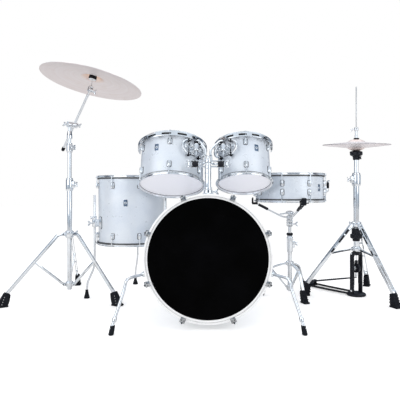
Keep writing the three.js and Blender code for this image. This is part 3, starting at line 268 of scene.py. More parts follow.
def plain_finishes():
    """Those that follow the common recipe, by their keys."""
    return {
        "black_film": worn_finish(
            "black_film", grey(0.001), 0.4, (5.0, 5.0, 0.6),
            (grey(0.0006), (0.0022, 0.0022, 0.0028)), (0.4, 0.8), (0.3, 0.75, 0.3, 0.46), 0.00003,
            0.25, scuff=(22.0, 5.0, 0.7), grain=(600.0, 2.0), specular_ior_level=0.015),
        "lacquer": worn_finish(
            "white_lacquer", grey(0.95), 0.25, (45.0, 4.0, 0.6, (1.0, 0.15, 1.0)),
            (grey(0.96), grey(0.92)), (0.35, 0.7), (0.3, 0.7, 0.2, 0.38), 0.0001, 0.2,
            scuff=(30.0, 4.0), coat_weight=0.3, coat_roughness=0.15),
        "rubber": worn_finish(
            "black_rubber", (0.006, 0.007, 0.011), 0.7, (55.0, 5.0, 0.7),
            ((0.005, 0.006, 0.010), (0.022, 0.024, 0.030)), (0.5, 0.8), (0.3, 0.7, 0.55, 0.85),
            0.00015, 0.4, grain=(700.0, 2.0), specular_ior_level=0.2),
        "black": worn_finish(
            "black_coating", (0.007, 0.008, 0.013), 0.4, (38.0, 5.0, 0.75),
            ((0.006, 0.007, 0.012), (0.035, 0.037, 0.045)), (0.62, 0.8), (0.3, 0.75, 0.3, 0.55),
            0.0001, 0.3, grain=(420.0, 2.0), metal=0.1, specular_ior_level=0.3),
        "felt": worn_finish(
            "wool_felt", grey(0.008), 0.95, (420.0, 5.0, 0.8),
            ((0.004, 0.004, 0.006), (0.022, 0.022, 0.026)), (0.35, 0.7), None, 0.0008, 0.9,
            sheen_weight=0.1, specular_ior_level=0.1),
        "badge": worn_finish(
            "blued_badge", (0.10, 0.15, 0.23), 0.35, BRUSHED,
            ((0.07, 0.115, 0.19), (0.15, 0.21, 0.30)), (0.3, 0.7), (0.3, 0.7, 0.28, 0.45), 0.00005,
            0.3, scuff=(120.0, 4.0), metal=0.8),
        "plies": worn_finish(
            "bare_plies", (0.62, 0.46, 0.30), 0.6, (70.0, 5.0, 0.65, (1.0, 1.0, 0.08)),
            ((0.68, 0.52, 0.35), (0.46, 0.31, 0.18)), (0.35, 0.7), (0.3, 0.7, 0.5, 0.7), 0.0002,
            0.4),
        "wire": worn_finish(
            "drawn_wire", grey(0.62), 0.28, (90.0, 4.0), None, None, (0.3, 0.7, 0.2, 0.4), 0.0001,
            0.4, grain=(900.0, 2.0), metal=1.0),
    }


FINISHES = {
    "wrap": wrap_finish(),
    "chrome": chrome_finish(),
    # chrome at about half its tone: painted shade, for the dark look of the bass drum's claws
    "shade_dark_chrome": chrome_finish("shade_darkened_chrome", 0.46, 0.08, 0.2),
    "plate": plate_finish("brushed_plate", 0.5, 0.68),
    # a dark copy of the brushed plate: painted shade, for the dark line between a hoop and its shell
    "shade_painted_plate": plate_finish("shade_painted_plate", 0.08, 0.14),
    "film": film_finish("coated_film", (0.86, 0.86, 0.87), (0.80, 0.79, 0.80), 0.5, 0.0001),
    # the lower heads' film: its tone is lightened and it glows, both painted light for the little light that
    # reaches the heads underneath
    "thin_film": film_finish(
        "resonant_film", (0.93, 0.915, 0.945), (0.90, 0.885, 0.92), 0.4, 0.00004, 0.19),
    "bronze": bronze_finish(
        "lathed_bronze", (0.84, 0.775, 0.765), (0.80, 0.72, 0.705), (0.86, 0.58, 0.42), 0.3, 0.9),
    # the hi-hats' bronze, paler and less metallic than the crash's: painted light, making up for the dark room
    # their edge-on faces mirror
    "bronze_lightened_for_shade": bronze_finish(
        "bronze_lightened_for_shade", (0.93, 0.87, 0.87), (0.90, 0.83, 0.83), (0.84, 0.68, 0.62), 0.42, 0.6),
    **plain_finishes(),
}


# ---- modelling in millimetres ----
def basis(at=(0, 0, 0), up=UP, right=X):
    """A local frame with its z along up and its x as near right as it can be."""
    z = Vector(up).normalized()
    x = Vector(right)
    x = (x - z * x.dot(z)).normalized()
    frame_of = Matrix((x, z.cross(x), z)).transposed().to_4x4()
    frame_of.translation = Vector(at)
    return frame_of


def polar(deg, r, z=0.0, centre=(0, 0)):
    return Vector((centre[0] + r * math.cos(rad(deg)), centre[1] + r * math.sin(rad(deg)), z))


def around(deg):
    return Matrix.Rotation(rad(deg), 4, "Z")


def moved(x, y, z):
    return Matrix.Translation((x, y, z))


def facing(out, z):
    """A frame that looks outward: its z along x at a distance out, and its y up from z."""
    return Matrix(((0, 0, 1, out), (1, 0, 0, 0), (0, 1, 0, z), (0, 0, 0, 1)))


def panel(x, y, fillet):
    """The outline of a plate of half sizes x and y, with round corners."""
    return [(-x, -y, fillet), (x, -y, fillet), (x, y, fillet), (-x, y, fillet)]


TURN_OVER = Matrix.Rotation(math.pi, 4, "X")
ON_EDGE = Matrix.Rotation(math.pi / 2, 4, "X")  # a plate's y becomes z, its thickness -y


def ring(count, start=0.0):
    return [start + 360 * i / count for i in range(count)]


def square_to(direction):
    d = Vector(direction).normalized()
    return X if abs(d.z) > 0.9 else Vector(UP).cross(d)


def eased(points, closed):
    """The outline with a fillet at each corner whose third number gives one."""
    out = []
    count = len(points)
    for i, point in enumerate(points):
        corner = Vector(point[:2])
        fillet = point[2] if len(point) > 2 else 0
        if not fillet or (not closed and i in (0, count - 1)):
            out.append(corner)
            continue
        before, after = Vector(points[i - 1][:2]), Vector(points[(i + 1) % count][:2])
        start = corner + (before - corner).normalized() * fillet
        end = corner + (after - corner).normalized() * fillet
        for t in (0, 0.25, 0.5, 0.75, 1):
            out.append(start.lerp(corner, t).lerp(corner.lerp(end, t), t))
    return out


def curve_through(points, steps, tension=0.5):
    """Points at even spacing along a smooth curve through the given ones."""
    p = [Vector(q) for q in points]
    dense = []
    for i in range(len(p) - 1):
        before = p[i - 1] if i else 2 * p[0] - p[1]
        after = p[i + 2] if i + 2 < len(p) else 2 * p[-1] - p[-2]
        m0, m1 = (p[i + 1] - before) * tension, (after - p[i]) * tension
        for k in range(12):
            t = k / 12
            a, b = 2 * t**3 - 3 * t**2 + 1, t**3 - 2 * t**2 + t
            c, d = -2 * t**3 + 3 * t**2, t**3 - t**2
            dense.append(p[i] * a + m0 * b + p[i + 1] * c + m1 * d)
    dense.append(p[-1])
    run = [0.0]
    for a, b in zip(dense, dense[1:]):
        run.append(run[-1] + (b - a).length)
    out, k = [], 0
    for i in range(steps + 1):
        s = run[-1] * i / steps
        while k < len(run) - 2 and run[k + 1] < s:
            k += 1
        out.append(dense[k].lerp(dense[k + 1], (s - run[k]) / max(run[k + 1] - run[k], 1e-9)))
    return out


def soften(bm, width, steps=2, sharper_than=35):
    edges = [e for e in bm.edges if e.is_manifold and e.calc_face_angle(0) > rad(sharper_than)]
    if width and edges:
        bmesh.ops.bevel(bm, geom=edges, offset=width, offset_type="OFFSET", segments=steps,
            profile=0.5, affect="EDGES", material=-1, clamp_overlap=True)


scratch = bpy.data.meshes.new("scratch")


class Shape:
    """Bodies being modelled together, in millimetres."""

    def __init__(self):
        self.bm = bmesh.new()

    def take(self, bm, at=STILL):
        bm.transform(at)
        bm.to_mesh(scratch)
        bm.free()
        self.bm.from_mesh(scratch)
        return self

    def copy(self, other, *places):
        for place in places:
            self.take(other.bm.copy(), place)
        return self

    def rod(self, a, b, r, end=None, sides=20, edge=0.5, steps=1):
        a, b = Vector(a), Vector(b)
        bm = bmesh.new()
        length = (b - a).length
        bmesh.ops.create_cone(bm, cap_ends=True, segments=sides, radius1=r, depth=length,
            radius2=r if end is None else end)
        soften(bm, min(edge, length / 4), steps, 50)
        return self.take(bm, basis((a + b) / 2, b - a, square_to(b - a)))

    def post(self, low, high, r, x=0, y=0, **how):
        """An upright rod between two heights."""
        return self.rod((x, y, low), (x, y, high), r, **how)

    def block(self, centre, size, edge=1.0, turn=0.0, at=STILL, steps=2):
        bm = bmesh.new()
        bmesh.ops.create_cube(bm, size=1)
        bmesh.ops.scale(bm, vec=size, verts=bm.verts)
        soften(bm, min(edge, min(size) * 0.45), steps)
        return self.take(bm, at @ Matrix.Translation(centre) @ around(turn))

    def bar(self, a, b, wide, thick, across, edge=0.8):
        """A flat bar from a to b whose width is measured along across."""
        a, b = Vector(a), Vector(b)
        return self.block((0, 0, (b - a).length / 2), (wide, thick, (b - a).length), edge,
            at=basis(a, b - a, across))

    def turn(self, profile, sides=64, at=STILL, closed=False, out=0.0, up=0.0):
        """A profile of (radius, height, fillet), counted from out and up, turned about z."""
        bm = bmesh.new()
        points = [bm.verts.new((out + p.x, 0, up + p.y)) for p in eased(profile, closed)]
        pairs = list(zip(points, points[1:])) + ([(points[-1], points[0])] if closed else [])
        edges = [bm.edges.new(pair) for pair in pairs]
        bmesh.ops.spin(bm, geom=points + edges, cent=(0, 0, 0), axis=UP, angle=math.tau,
            steps=sides, use_merge=True, use_duplicate=False)
        bmesh.ops.remove_doubles(bm, verts=bm.verts, dist=1e-4)
        bmesh.ops.recalc_face_normals(bm, faces=bm.faces)
        return self.take(bm, at)

    def tube(self, profile, sides=48, at=STILL, out=0.0, up=0.0):
        """A closed profile turned about z, so with a bore through it."""
        return self.turn(profile, sides, at, True, out, up)

    def arc(self, profile, start, end, at=STILL, sides=64, edge=0.4):
        """A closed profile of (radius, height, fillet) turned about z from one angle to another."""
        bm = bmesh.new()
        points = [bm.verts.new((p.x, 0, p.y)) for p in eased(profile, True)]
        face = bm.faces.new(points)
        bmesh.ops.spin(bm, geom=[face], cent=(0, 0, 0), axis=UP, angle=rad(end - start),
            steps=sides, use_duplicate=False)
        bmesh.ops.recalc_face_normals(bm, faces=bm.faces)
        soften(bm, edge, 1, 60)
        return self.take(bm, at @ around(start))

    def plate(self, outline, low, high, at=STILL, edge=0.6, steps=2):
        """An outline of (x, y, fillet) made a plate between two heights."""
        bm = bmesh.new()
        face = bm.faces.new([bm.verts.new((p.x, p.y, low)) for p in eased(outline, True)])
        top = bmesh.ops.extrude_face_region(bm, geom=[face])["geom"]
        verts = [v for v in top if isinstance(v, bmesh.types.BMVert)]
        bmesh.ops.translate(bm, vec=(0, 0, high - low), verts=verts)
        bmesh.ops.recalc_face_normals(bm, faces=bm.faces)
        soften(bm, edge, steps, 40)
        return self.take(bm, at)

    def upright(self, deg, outline, off, half, edge=0.6, steps=2):
        """A plate of (reach, height, fillet) on edge at a bearing, off its middle plane."""
        return self.plate(outline, off - half, off + half, around(deg) @ ON_EDGE, edge, steps)

    def sweep(self, points, r, sides=14):
        """A round bar along the points, drawn out ring by ring."""
        points = [Vector(p) for p in points]
        bm = bmesh.new()
        circle = bmesh.ops.create_circle(bm, segments=sides, radius=r)["verts"]
        heading = points[1] - points[0]
        bmesh.ops.transform(bm, matrix=basis(points[0], heading, square_to(heading)), verts=circle)
        edges = list(bm.edges)
        bmesh.ops.contextual_create(bm, geom=edges)
        for i in range(1, len(points)):
            ahead = points[min(i + 1, len(points) - 1)] - points[i - 1]
            drawn = bmesh.ops.extrude_edge_only(bm, edges=edges)["geom"]
            verts = [v for v in drawn if isinstance(v, bmesh.types.BMVert)]
            edges = [e for e in drawn if isinstance(e, bmesh.types.BMEdge)]
            turn = heading.rotation_difference(ahead).to_matrix().to_4x4()
            step = Matrix.Translation(points[i]) @ turn @ Matrix.Translation(-points[i - 1])
            bmesh.ops.transform(bm, matrix=step, verts=verts)
            heading = ahead
        bmesh.ops.contextual_create(bm, geom=edges)
        bmesh.ops.recalc_face_normals(bm, faces=bm.faces)
        return self.take(bm)

    def ball(self, centre, r, sides=20):
        bm = bmesh.new()
        bmesh.ops.create_uvsphere(bm, u_segments=sides, v_segments=sides * 2 // 3, radius=r)
        return self.take(bm, Matrix.Translation(centre))

    def wing(self, at, along, across, reach=28.0, stem=4.0, length=18.0):
        """A wing bolt: a stem out from at, a boss, and two lobes that stand across it."""
        place = basis(at, along, across)
        self.turn([(0, -2), (stem, -2), (stem, length - 7), (stem + 2.6, length - 6, 1),
            (stem + 2, length + 4, 1.5), (0, length + 4)], 16, place)
        for side in (-1, 1):
            lobe = [(2, -4, 2), (reach * 0.42, -1, 4), (reach * 0.5, 7, 3),
                (reach * 0.36, 9.5, 2.5), (2, 5, 2)]
            upright = Matrix(((side, 0, 0, 0), (0, 0, 1, 0), (0, 1, 0, length), (0, 0, 0, 1)))
            self.plate(lobe, -1.9, 1.9, place @ upright, 0.8)
        return self


def body_under(node):
    """The body that a CAD node rides on."""
    return next(b for b, nodes in frame["record"]["behaviour"]["bodies"].items() if node in nodes)


def piece(name, shape, finish, node, at=STILL, rings=False):
    """Makes the shape a piece that stands for a CAD node, and rides where it does."""
    bm = shape.bm
    if rings:
        layer = bm.verts.layers.float.new("ring")
        for v in bm.verts:
            v[layer] = math.hypot(v.co.x, v.co.y) * MM
    bm.transform(Matrix.Scale(MM, 4) @ at)
    bmesh.ops.recalc_face_normals(bm, faces=bm.faces)
    for face in bm.faces:
        face.smooth = True
    for edge in bm.edges:
        edge.smooth = edge.calc_face_angle(0) < rad(38)
    mesh = bpy.data.meshes.new(name)
    bm.to_mesh(mesh)
    bm.free()
    made = bpy.data.objects.new(name, mesh)
    bpy.context.scene.collection.objects.link(made)
    mesh.materials.append(FINISHES[finish])
    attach(made, body_under(node))
    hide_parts(node)


class Group:
    """Pieces whose names start alike, and the frame that most of them are made in."""

    def __init__(self, name, place):
        self.name, self.place = name, place

    def piece(self, name, shape, finish, part="shell", at=None, rings=False):
        """Makes a piece on the part of this group that it covers."""
        piece(f"{self.name}_{name}", shape, finish, f"{self.name}_{part}",
            self.place if at is None else at, rings)


# ---- places read from the frame, in millimetres ----
GAP = 0.3  # air between a drum's film and its bearing edge
SKIN = 0.8  # the film's thickness


def corners(node):
    """The different corners of a CAD node."""
    points = {tuple(round(c / MM, 3) for c in v.co) for v in frame["nodes"][node].data.vertices}
    return [Vector(p) for p in sorted(points)]


def hub(node):
    """The point on a turned node's own axis that is the mean of its corners."""
    points = corners(node)
    return sum(points, Vector()) / len(points)


class Drum(Group):
    """A drum's own frame: z = 0 at its lower bearing edge, and its sizes from its two heads."""

    def __init__(self, name, top, bottom, lugs, lug_start):
        self.lugs = ring(lugs, lug_start)
        up = (hub(top) - hub(bottom)).normalized()
        reach = [p.dot(up) for p in corners(top) + corners(bottom)]
        self.depth = max(reach) - min(reach) - 2 * (GAP + SKIN)
        centre = (hub(top) + hub(bottom)) / 2
        foot = centre + up * ((max(reach) + min(reach)) / 2 - centre.dot(up) - self.depth / 2)
        out = [(p - foot - up * (p - foot).dot(up)).length for p in corners(top)]
        self.r = max(out) - 4
        self.up, self.foot = up, foot
        super().__init__(name, basis(foot, up))
        self.top = self.place @ moved(0, 0, self.depth)  # its upper bearing edge
        self.underneath = self.place @ TURN_OVER  # its lower bearing edge, upside down


tom12 = Drum("tom12", "tom12_batter_head", "tom12_bottom_head", 6, -90)
tom10 = Drum("tom10", "tom10_batter_head", "tom10_bottom_head", 6, -90)
floor_tom = Drum("floor_tom", "floor_tom_batter_head", "floor_tom_bottom_head", 8, 22.5)
snare = Drum("snare", "snare_batter_head", "snare_side_head", 8, 22.5)
bass = Drum("bass", "bass_front_head", "bass_batter_head", 8, 22.5)


# ---- parts that every drum has ----
def shell(drum):
    """Plies with bearing edges, and the wrap round them with its lap seam."""
    r, depth = drum.r, drum.depth
    plies = Shape().tube([(-7, 0, 0.8), (-0.7, 2.7), (-0.7, depth - 2.7), (-7, depth, 0.8)], 96,
        out=r)
    drum.piece("plies", plies, "plies")
    wrap = Shape().tube([(-0.7, 3.5), (0, 4), (0, depth - 4), (-0.7, depth - 3.5)], 128, out=r)
    seam = Shape().block((r + 0.05, 0, depth / 2), (0.5, 16, depth - 9), 0.2)
    wrap.copy(seam, around(78))
    drum.piece("wrap", wrap, "wrap")


def head(drum, part, finish, low=False):
    """Film drawn over the bearing edge and down into its flesh hoop."""
    r = drum.r
    film = Shape().turn([(0, GAP + 0.1), (r - 8, GAP + 0.1), (r - 1, 0.1, 1), (r + 0.5, -5.5),
        (r + 1.1, -5.5), (r + 0.9, -0.5, 1), (r - 4, GAP + SKIN, 2.5), (0, GAP + SKIN)], 128)
    inner = r - 4.5 if drum is bass else r + 1.3
    band = Shape().tube([(r + 1.1, -6), (r + 4, -6, 1), (r + 4, GAP + SKIN, 1.2),
        (inner, GAP + SKIN), (inner, SKIN)], 128)
    place = drum.underneath if low else drum.top
    drum.piece(part, film, finish, part, place)
    # the flesh hoops of all but the bass drum take the dark plate: painted shade between hoop and shell
    drum.piece(f"{part}_flesh_hoop", band, "lacquer" if drum is bass else "shade_painted_plate", part, place)


def lug(wide, long, high, rod_out):
    """A cast lug that stands on the shell at x = 0, with the barrel of its nut along z."""
    cast = Shape()
    half, tall = wide / 2, long / 2
    foot = panel(half, tall, half * 0.8)
    outward = facing(0, 0)
    cast.plate(foot, -3, 2.4, outward, 0.9)
    cast.block((high * 0.34, 0, 0), (high * 0.9, wide * 0.62, long * 0.84), wide * 0.2, steps=4)
    cast.post(-long * 0.44, long * 0.47, wide * 0.3, x=rod_out, edge=1.6, steps=3)
    cast.post(long * 0.44, long * 0.5, wide * 0.22, x=rod_out, edge=0.4)
    seat = Shape()
    wider = [(x * 1.2, y * 1.1, half * 0.9) for x, y, _ in foot]
    seat.plate(wider, -3.4, 1.2, outward, 0.3)
    return cast, seat


def lug_set(drum, wide, long, high, rod_out, edge_set):
    """The lugs of both ends of a shell, with the seats under them."""
    cast, seat = lug(wide, long, high, rod_out)
    lugs, seats = Shape(), Shape()
    for deg in drum.lugs:
        top = around(deg) @ moved(drum.r, 0, drum.depth - edge_set - long / 2)
        low = around(deg) @ moved(drum.r, 0, edge_set + long / 2) @ Matrix.Diagonal((1, 1, -1, 1))
        lugs.copy(cast, top, low)
        seats.copy(seat, top, low)
    drum.piece("lugs", lugs, "chrome")
    drum.piece("lug_gaskets", seats, "rubber")


def metal_hoop(drum, part, low=False, gates=False):
    """A triple-flanged hoop with its tension rods, washers and square key heads."""
    r = drum.r
    hoop = Shape().tube([(1.2, 1.4), (13, 1.4, 0.8), (13, 3.4, 0.8), (4.3, 3.6, 1.4),
        (3.6, 10.4, 1.6), (7.4, 11.4, 0.6), (7.2, 13, 0.6), (2.4, 12.7, 2.2), (1.2, 9, 1.2)], 128,
        out=r)
    if gates:
        cut_gates(hoop)
    key = Shape().post(-26, 4, 2.9, sides=12)
    key.post(3.4, 4.7, 6.2, edge=0.3).post(4.7, 6.2, 4.9, edge=0.4)
    key.post(6, 9.2 if low else 12.6, 4.4, sides=4, edge=0.7, steps=2)
    for deg in drum.lugs:
        hoop.copy(key, around(-deg if low else deg) @ moved(r + ROD_OUT, 0, 0))
    drum.piece(part, hoop, "chrome", part, drum.underneath if low else drum.top)


def cut_gates(hoop):
    """Presses the strap's gates in the hoop at both sides."""
    half, ramp, lip, share = 24, 6, 9, 0.88
    for v in hoop.bm.verts:
        if abs(v.co.y) < half + ramp and v.co.z < lip:
            v.co.z += (lip - v.co.z) * min(1.0, (half + ramp - abs(v.co.y)) / ramp) * share


def badge(drum, deg, z):
    """A blank badge round the air vent's grommet, in a raised rim."""
    outward = around(deg) @ facing(drum.r, z)
    drum.piece("badge", Shape().plate(panel(10, 17, 4), -2, 1.1, outward, 0.4), "badge")
    trim = Shape().tube([(3.4, -2), (3.4, 1.6, 0.5), (4.8, 2.2, 0.6), (6.6, 1.4, 0.5), (6.6, -2)],
        32, outward)
    outline = ((-10.12, -17.68), (10.12, -17.68), (11, 0), (10.12, 17.68), (-10.12, 17.68),
        (-11, 0))
    rim = [outward @ Vector((x, y, 0.6)) for x, y in outline]
    for a, b in zip(rim, rim[1:] + rim[:1]):
        trim.bar(a, b, 1.4, 1.8, polar(deg, 1).cross(b - a), 0.4)
    drum.piece("badge_trim", trim, "chrome")


for drum in (tom12, tom10, floor_tom, snare, bass):
    shell(drum)
for drum in (tom12, tom10, floor_tom):
    head(drum, "batter_head", "film")
    head(drum, "bottom_head", "thin_film", low=True)
ROD_OUT = 9.5  # from a small drum's shell to its tension rods
for drum in (tom12, tom10, floor_tom, snare):
    lug_set(drum, wide=18, long=30, high=15, rod_out=ROD_OUT, edge_set=26)
    metal_hoop(drum, "top_hoop")
    metal_hoop(drum, "bottom_hoop", low=True, gates=drum is snare)
head(snare, "batter_head", "film")
head(snare, "side_head", "thin_film", low=True)
head(bass, "front_head", "black_film")
head(bass, "batter_head", "film", low=True)
for drum, deg, height in ((tom12, -114, 0.66), (tom10, -66, 0.66), (floor_tom, -90, 0.62),
        (snare, -45, 0.5)):
    badge(drum, deg, drum.depth * height)

# ---- bass drum: wood hoops, claws and long lugs ----
CLAW_OUT = 24  # from the shell to the tension rods
CLAW_SET = 62  # from the bearing edge to the lug
HOOP_PROUD, HOOP_BACK = 14, 24  # the hoop's reach before and behind the bearing edge
lug_set(bass, wide=22, long=52, high=29, rod_out=CLAW_OUT, edge_set=CLAW_SET)


def wood_hoop(part, low=False):
    """A bass drum hoop with its claws, tension rods and pads."""
    r, lip = bass.r, HOOP_PROUD
    inner, outer, rod = r + 4 + GAP, r + 12 + GAP, r + CLAW_OUT
    hoop = Shape().tube([(inner, -HOOP_BACK, 1.5), (outer, -HOOP_BACK, 2), (outer, lip, 2.5),
        (inner, lip, 2)], 160)
    hook = [(r + 1, lip + GAP, 0.8), (r + 14.5, lip + GAP, 1.5), (r + 16, -6, 2), (r + 18, -14, 1),
        (r + 25, -14, 3), (r + 26.4, 8, 6), (r + 20, lip + 4.4, 5), (r + 1, lip + 3.6, 1.2)]
    claw = Shape().plate(hook, -11, 11, ON_EDGE, 1.6, 3)
    claw.post(-CLAW_SET, 12, 2.5, x=rod, sides=12).post(10, lip + 1, 4.6, x=rod, edge=0.6)
    claw.post(lip, lip + 7, 4.2, x=rod, sides=4, edge=0.7, steps=2)
    pad = Shape().block((r + 8, 0, lip + 0.2), (13, 18, 0.9), 0.2)
    for s in (-1, 1):
        pad.block((r + 20, s * 11.1, 0), (9, 0.8, 13), 0.3)
        pad.post(lip + 4, lip + 4.9, 2.2, x=r + 12, y=s * 5.4, sides=16, edge=0.2)
    pad.post(lip + 6.8, lip + 7.2, 2.6, x=rod, sides=16, edge=0.1)
    places = [around(-deg if low else deg) for deg in bass.lugs]
    at = bass.underneath if low else bass.top
    bass.piece(part, hoop, "lacquer", part, at)
    # the claws take the darkened chrome: painted shade
    bass.piece(f"{part}_claws", Shape().copy(claw, *places), "shade_dark_chrome", part, at)
    bass.piece(f"{part}_claw_pads", Shape().copy(pad, *places), "rubber", part, at)


wood_hoop("front_hoop")
wood_hoop("batter_hoop", low=True)

# spurs: a round bracket on the shell, a bent tube and a rubber tip
SPUR_Z, SPUR_DEG = bass.depth - 78, 15
SPUR_FOOT = (382, -73)  # the left spur's x is the other way
for side, name in ((-1, "spur_left"), (1, "spur_right")):
    turn = -SPUR_DEG if side > 0 else 180 + SPUR_DEG
    outward = around(turn) @ moved(bass.r, 0, SPUR_Z) @ Matrix.Rotation(math.pi / 2, 4, "Y")
    bracket = Shape().plate(panel(26, 20, 8), -6, 4, outward, 1.5)
    bracket.turn([(0, 2), (19, 2), (16.5, 8, 3), (15, 20, 1.2), (0, 20)], 40, outward)
    for x, y, _ in panel(20, 14, 0):
        bracket.turn([(0, 4), (4, 4), (3.4, 6.4, 1), (0, 6.6)], 16, outward @ moved(x, y, 0))
    piece(f"{name}_bracket", bracket, "chrome", "bass_shell", bass.place)
    out = Vector(joints[f"{name}_fold"]["axis"])
    out = out if out.x * side > 0 else -out
    middle = HOME.inverted() @ (bass.foot + bass.up * SPUR_Z)
    leg = Shape().turn([(0, 0), (15, 0, 0.8), (15, 5, 1), (12.5, 7, 1.5), (12.5, 16, 2), (5, 18, 1),
        (0, 18)], 40, basis(middle + out * (bass.r + 20 + GAP), out))
    bend = [middle + out * (bass.r + 30), (side * 330, 4, 205), (side * 343, -14, 160),
        (side * 380.5, -71, 24)]
    leg.sweep(curve_through(bend, 26, 0.4), 6.6, 18)
    leg.tube([(6.4, -8), (9.4, -8, 1), (9.8, 4, 1), (8.2, 12, 2), (6.4, 12)], 28,
        basis((side * 371.5, -57.5, 55), (-side * 14, 21, 70)))
    piece(f"{name}_tube", leg, "chrome", name, HOME)
    stand = moved(side * SPUR_FOOT[0], SPUR_FOOT[1], 0)
    lean = Matrix.Shear("XY", 4, (-side * 0.16, 0.2))
    tip = Shape().turn([(0, 0), (8.4, 0, 1.5), (11.2, 4, 1.5), (10.8, 10, 1), (9.8, 11.5, 1),
        (10.6, 13, 1), (9.6, 36, 2), (0, 38)], 28, stand @ lean)
    piece(f"{name}_tip", tip, "rubber", name, HOME)

# ---- tom holder ----
HEAD_Z = holder_at.z
BALL_X, BALL_R, POST_R = 58, 15.5, 14
socket_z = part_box("tom_post_socket")[1].z / MM - 35
socket_at = HOME @ moved(0, HOLDER_Y, 0)
socket = Shape().tube([(POST_R + 0.3, -50), (22, -50, 1), (22, 2), (44, 3, 1), (44, 8, 2.5),
    (33, 11.5, 3), (21.5, 19, 3), (20, 34, 1.4), (POST_R + 0.3, 34, 0.6)], 72,
    moved(0, 0, socket_z + 1))
for deg in ring(4, 45):
    x, y, _ = polar(deg, 37)
    socket.turn([(0, 6), (4.6, 6), (4.2, 13.6, 1.2), (0, 14)], 16, moved(x, y, socket_z + 1))
socket.wing((19, 0, socket_z + 26), (1, 0, 0), (0, 0, 1), length=20)
piece("tom_post_flange", socket, "chrome", "tom_post_socket", socket_at)

# on each side two plates hold a ball between them; the wing bolt on top draws all four together
PLATE_NEAR, PLATE_FAR, PLATE_OFF = 8, 98, 12.5
BAY_R, BOLT_X = 16.8, 86
jaw_low, jaw_top = HEAD_Z - 22, HEAD_Z + 20
jaws = Shape()
for side in (-1, 1):
    for off in (-PLATE_OFF, PLATE_OFF):
        bay = [tuple(polar(t, BAY_R, 0, (BALL_X, -12))) for t in range(180, -1, -20)]
        outline = [(side * x, y, f) for x, y, f in ((PLATE_NEAR, -12, 2), (30, -12, 4), *bay,
            (PLATE_FAR - 8, -12, 5), (PLATE_FAR, -5, 4), (PLATE_FAR, 5, 4), (PLATE_FAR - 8, 11, 5),
            (BALL_X, 12, 8), (38, 12, 3), (36, 5.5, 3), (19, 5.5, 3), (17, 12, 2),
            (PLATE_NEAR, 12, 2))]
        jaws.plate(outline, HEAD_Z + off - 3, HEAD_Z + off + 3, STILL, 1.2, 3)
        bolt = 1 if off > 0 else -1
        jaws.post(HEAD_Z + off + bolt * 2, HEAD_Z + off + bolt * 5.6, 5.4, x=side * BOLT_X, sides=6,
            edge=0.6)
    jaws.post(HEAD_Z - 14, HEAD_Z + 14, 3, x=side * BOLT_X, sides=16)
    jaws.tube([(3, -9.3), (6, -9.3, 1), (6, -2, 1), (6, 9.3, 1), (3, 9.3)], 20,
        moved(side * BOLT_X, 0, HEAD_Z))
jaws.turn([(0, jaw_low - 3), (13, jaw_low - 3, 1), (15, jaw_low, 1), (15, HEAD_Z - 7, 1),
    (12, HEAD_Z - 5.4, 1), (12, HEAD_Z + 5.4, 1), (15, HEAD_Z + 7, 1), (15, jaw_top - 2, 2),
    (10, jaw_top, 1), (0, jaw_top)], 48)
jaws.post(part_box("tom_post")[0].z / MM, jaw_low, POST_R - 0.2, sides=48)
jaws.tube([(POST_R - 0.3, -22), (15, -22, 0.6), (15, -16, 0.6), (POST_R - 0.3, -16)], up=jaw_low)
jaws.tube([(POST_R - 0.3, 35.6), (17.6, 35.6, 1), (18, 38, 1), (18, 46, 1.5), (POST_R - 0.3, 47)],
    up=socket_z)
jaws.wing((0, 0, jaw_top), UP, X, reach=34, stem=4.4, length=12)
piece("tom_post_jaws", jaws, "chrome", "tom_post", socket_at)

# each mounted tom hangs in a band round its front, under the top hoop
BAND_OUT, BAND_DROP, BAND_ENDS = 19, 20, 12
BRACKET_DEG, BRACKET_OUT, BRACKET_Z = 48, 30, 0.66


def suspension_band(drum):
    """A pressed band with its windows, the grommets it hangs on and their bolts."""
    r = drum.r + BAND_OUT
    start, end = -180 - BAND_ENDS, BAND_ENDS
    band = Shape().arc([(drum.r + 12, 1.5), (r, 1.5, 1), (r, 3.7, 1.2), (drum.r + 12, 3.7)], start,
        end, sides=96)
    band.arc([(r - 2, -4.5), (r, -4.5), (r, 3, 1), (r - 2, 3)], start, end, sides=96)
    band.arc([(r - 2, -BAND_DROP), (r - 0.2, -BAND_DROP, 0.6), (r, -14.5), (r - 2, -14.5)], start,
        end, sides=96)
    windows = [(start + 14 + 25 * k, start + 14 + 25 * k + 15) for k in range(8)]
    edges = [start, *(deg for pair in windows for deg in pair), end]
    for low, high in zip(edges[::2], edges[1::2]):
        band.arc([(r - 2, -15), (r, -15), (r, -4), (r - 2, -4)], low, high, sides=12, edge=0)
    grommets = Shape()
    for deg in (start + 7, start + 58, end - 58, end - 7):
        band.rod(polar(deg, r - 0.5, -9.5), polar(deg, r + 1.6, -9.5), 4.4, sides=20, edge=0.6)
        grommets.tube([(2, -1.4), (8, -1.4, 1), (8, 1.2, 1.2), (2, 1.8)], 24,
            around(deg) @ facing(r - 0.6, -9.5))
    drum.piece("suspension_band", band, "chrome", "top_hoop", drum.top)
    drum.piece("grommets", grommets, "rubber", "top_hoop", drum.top)


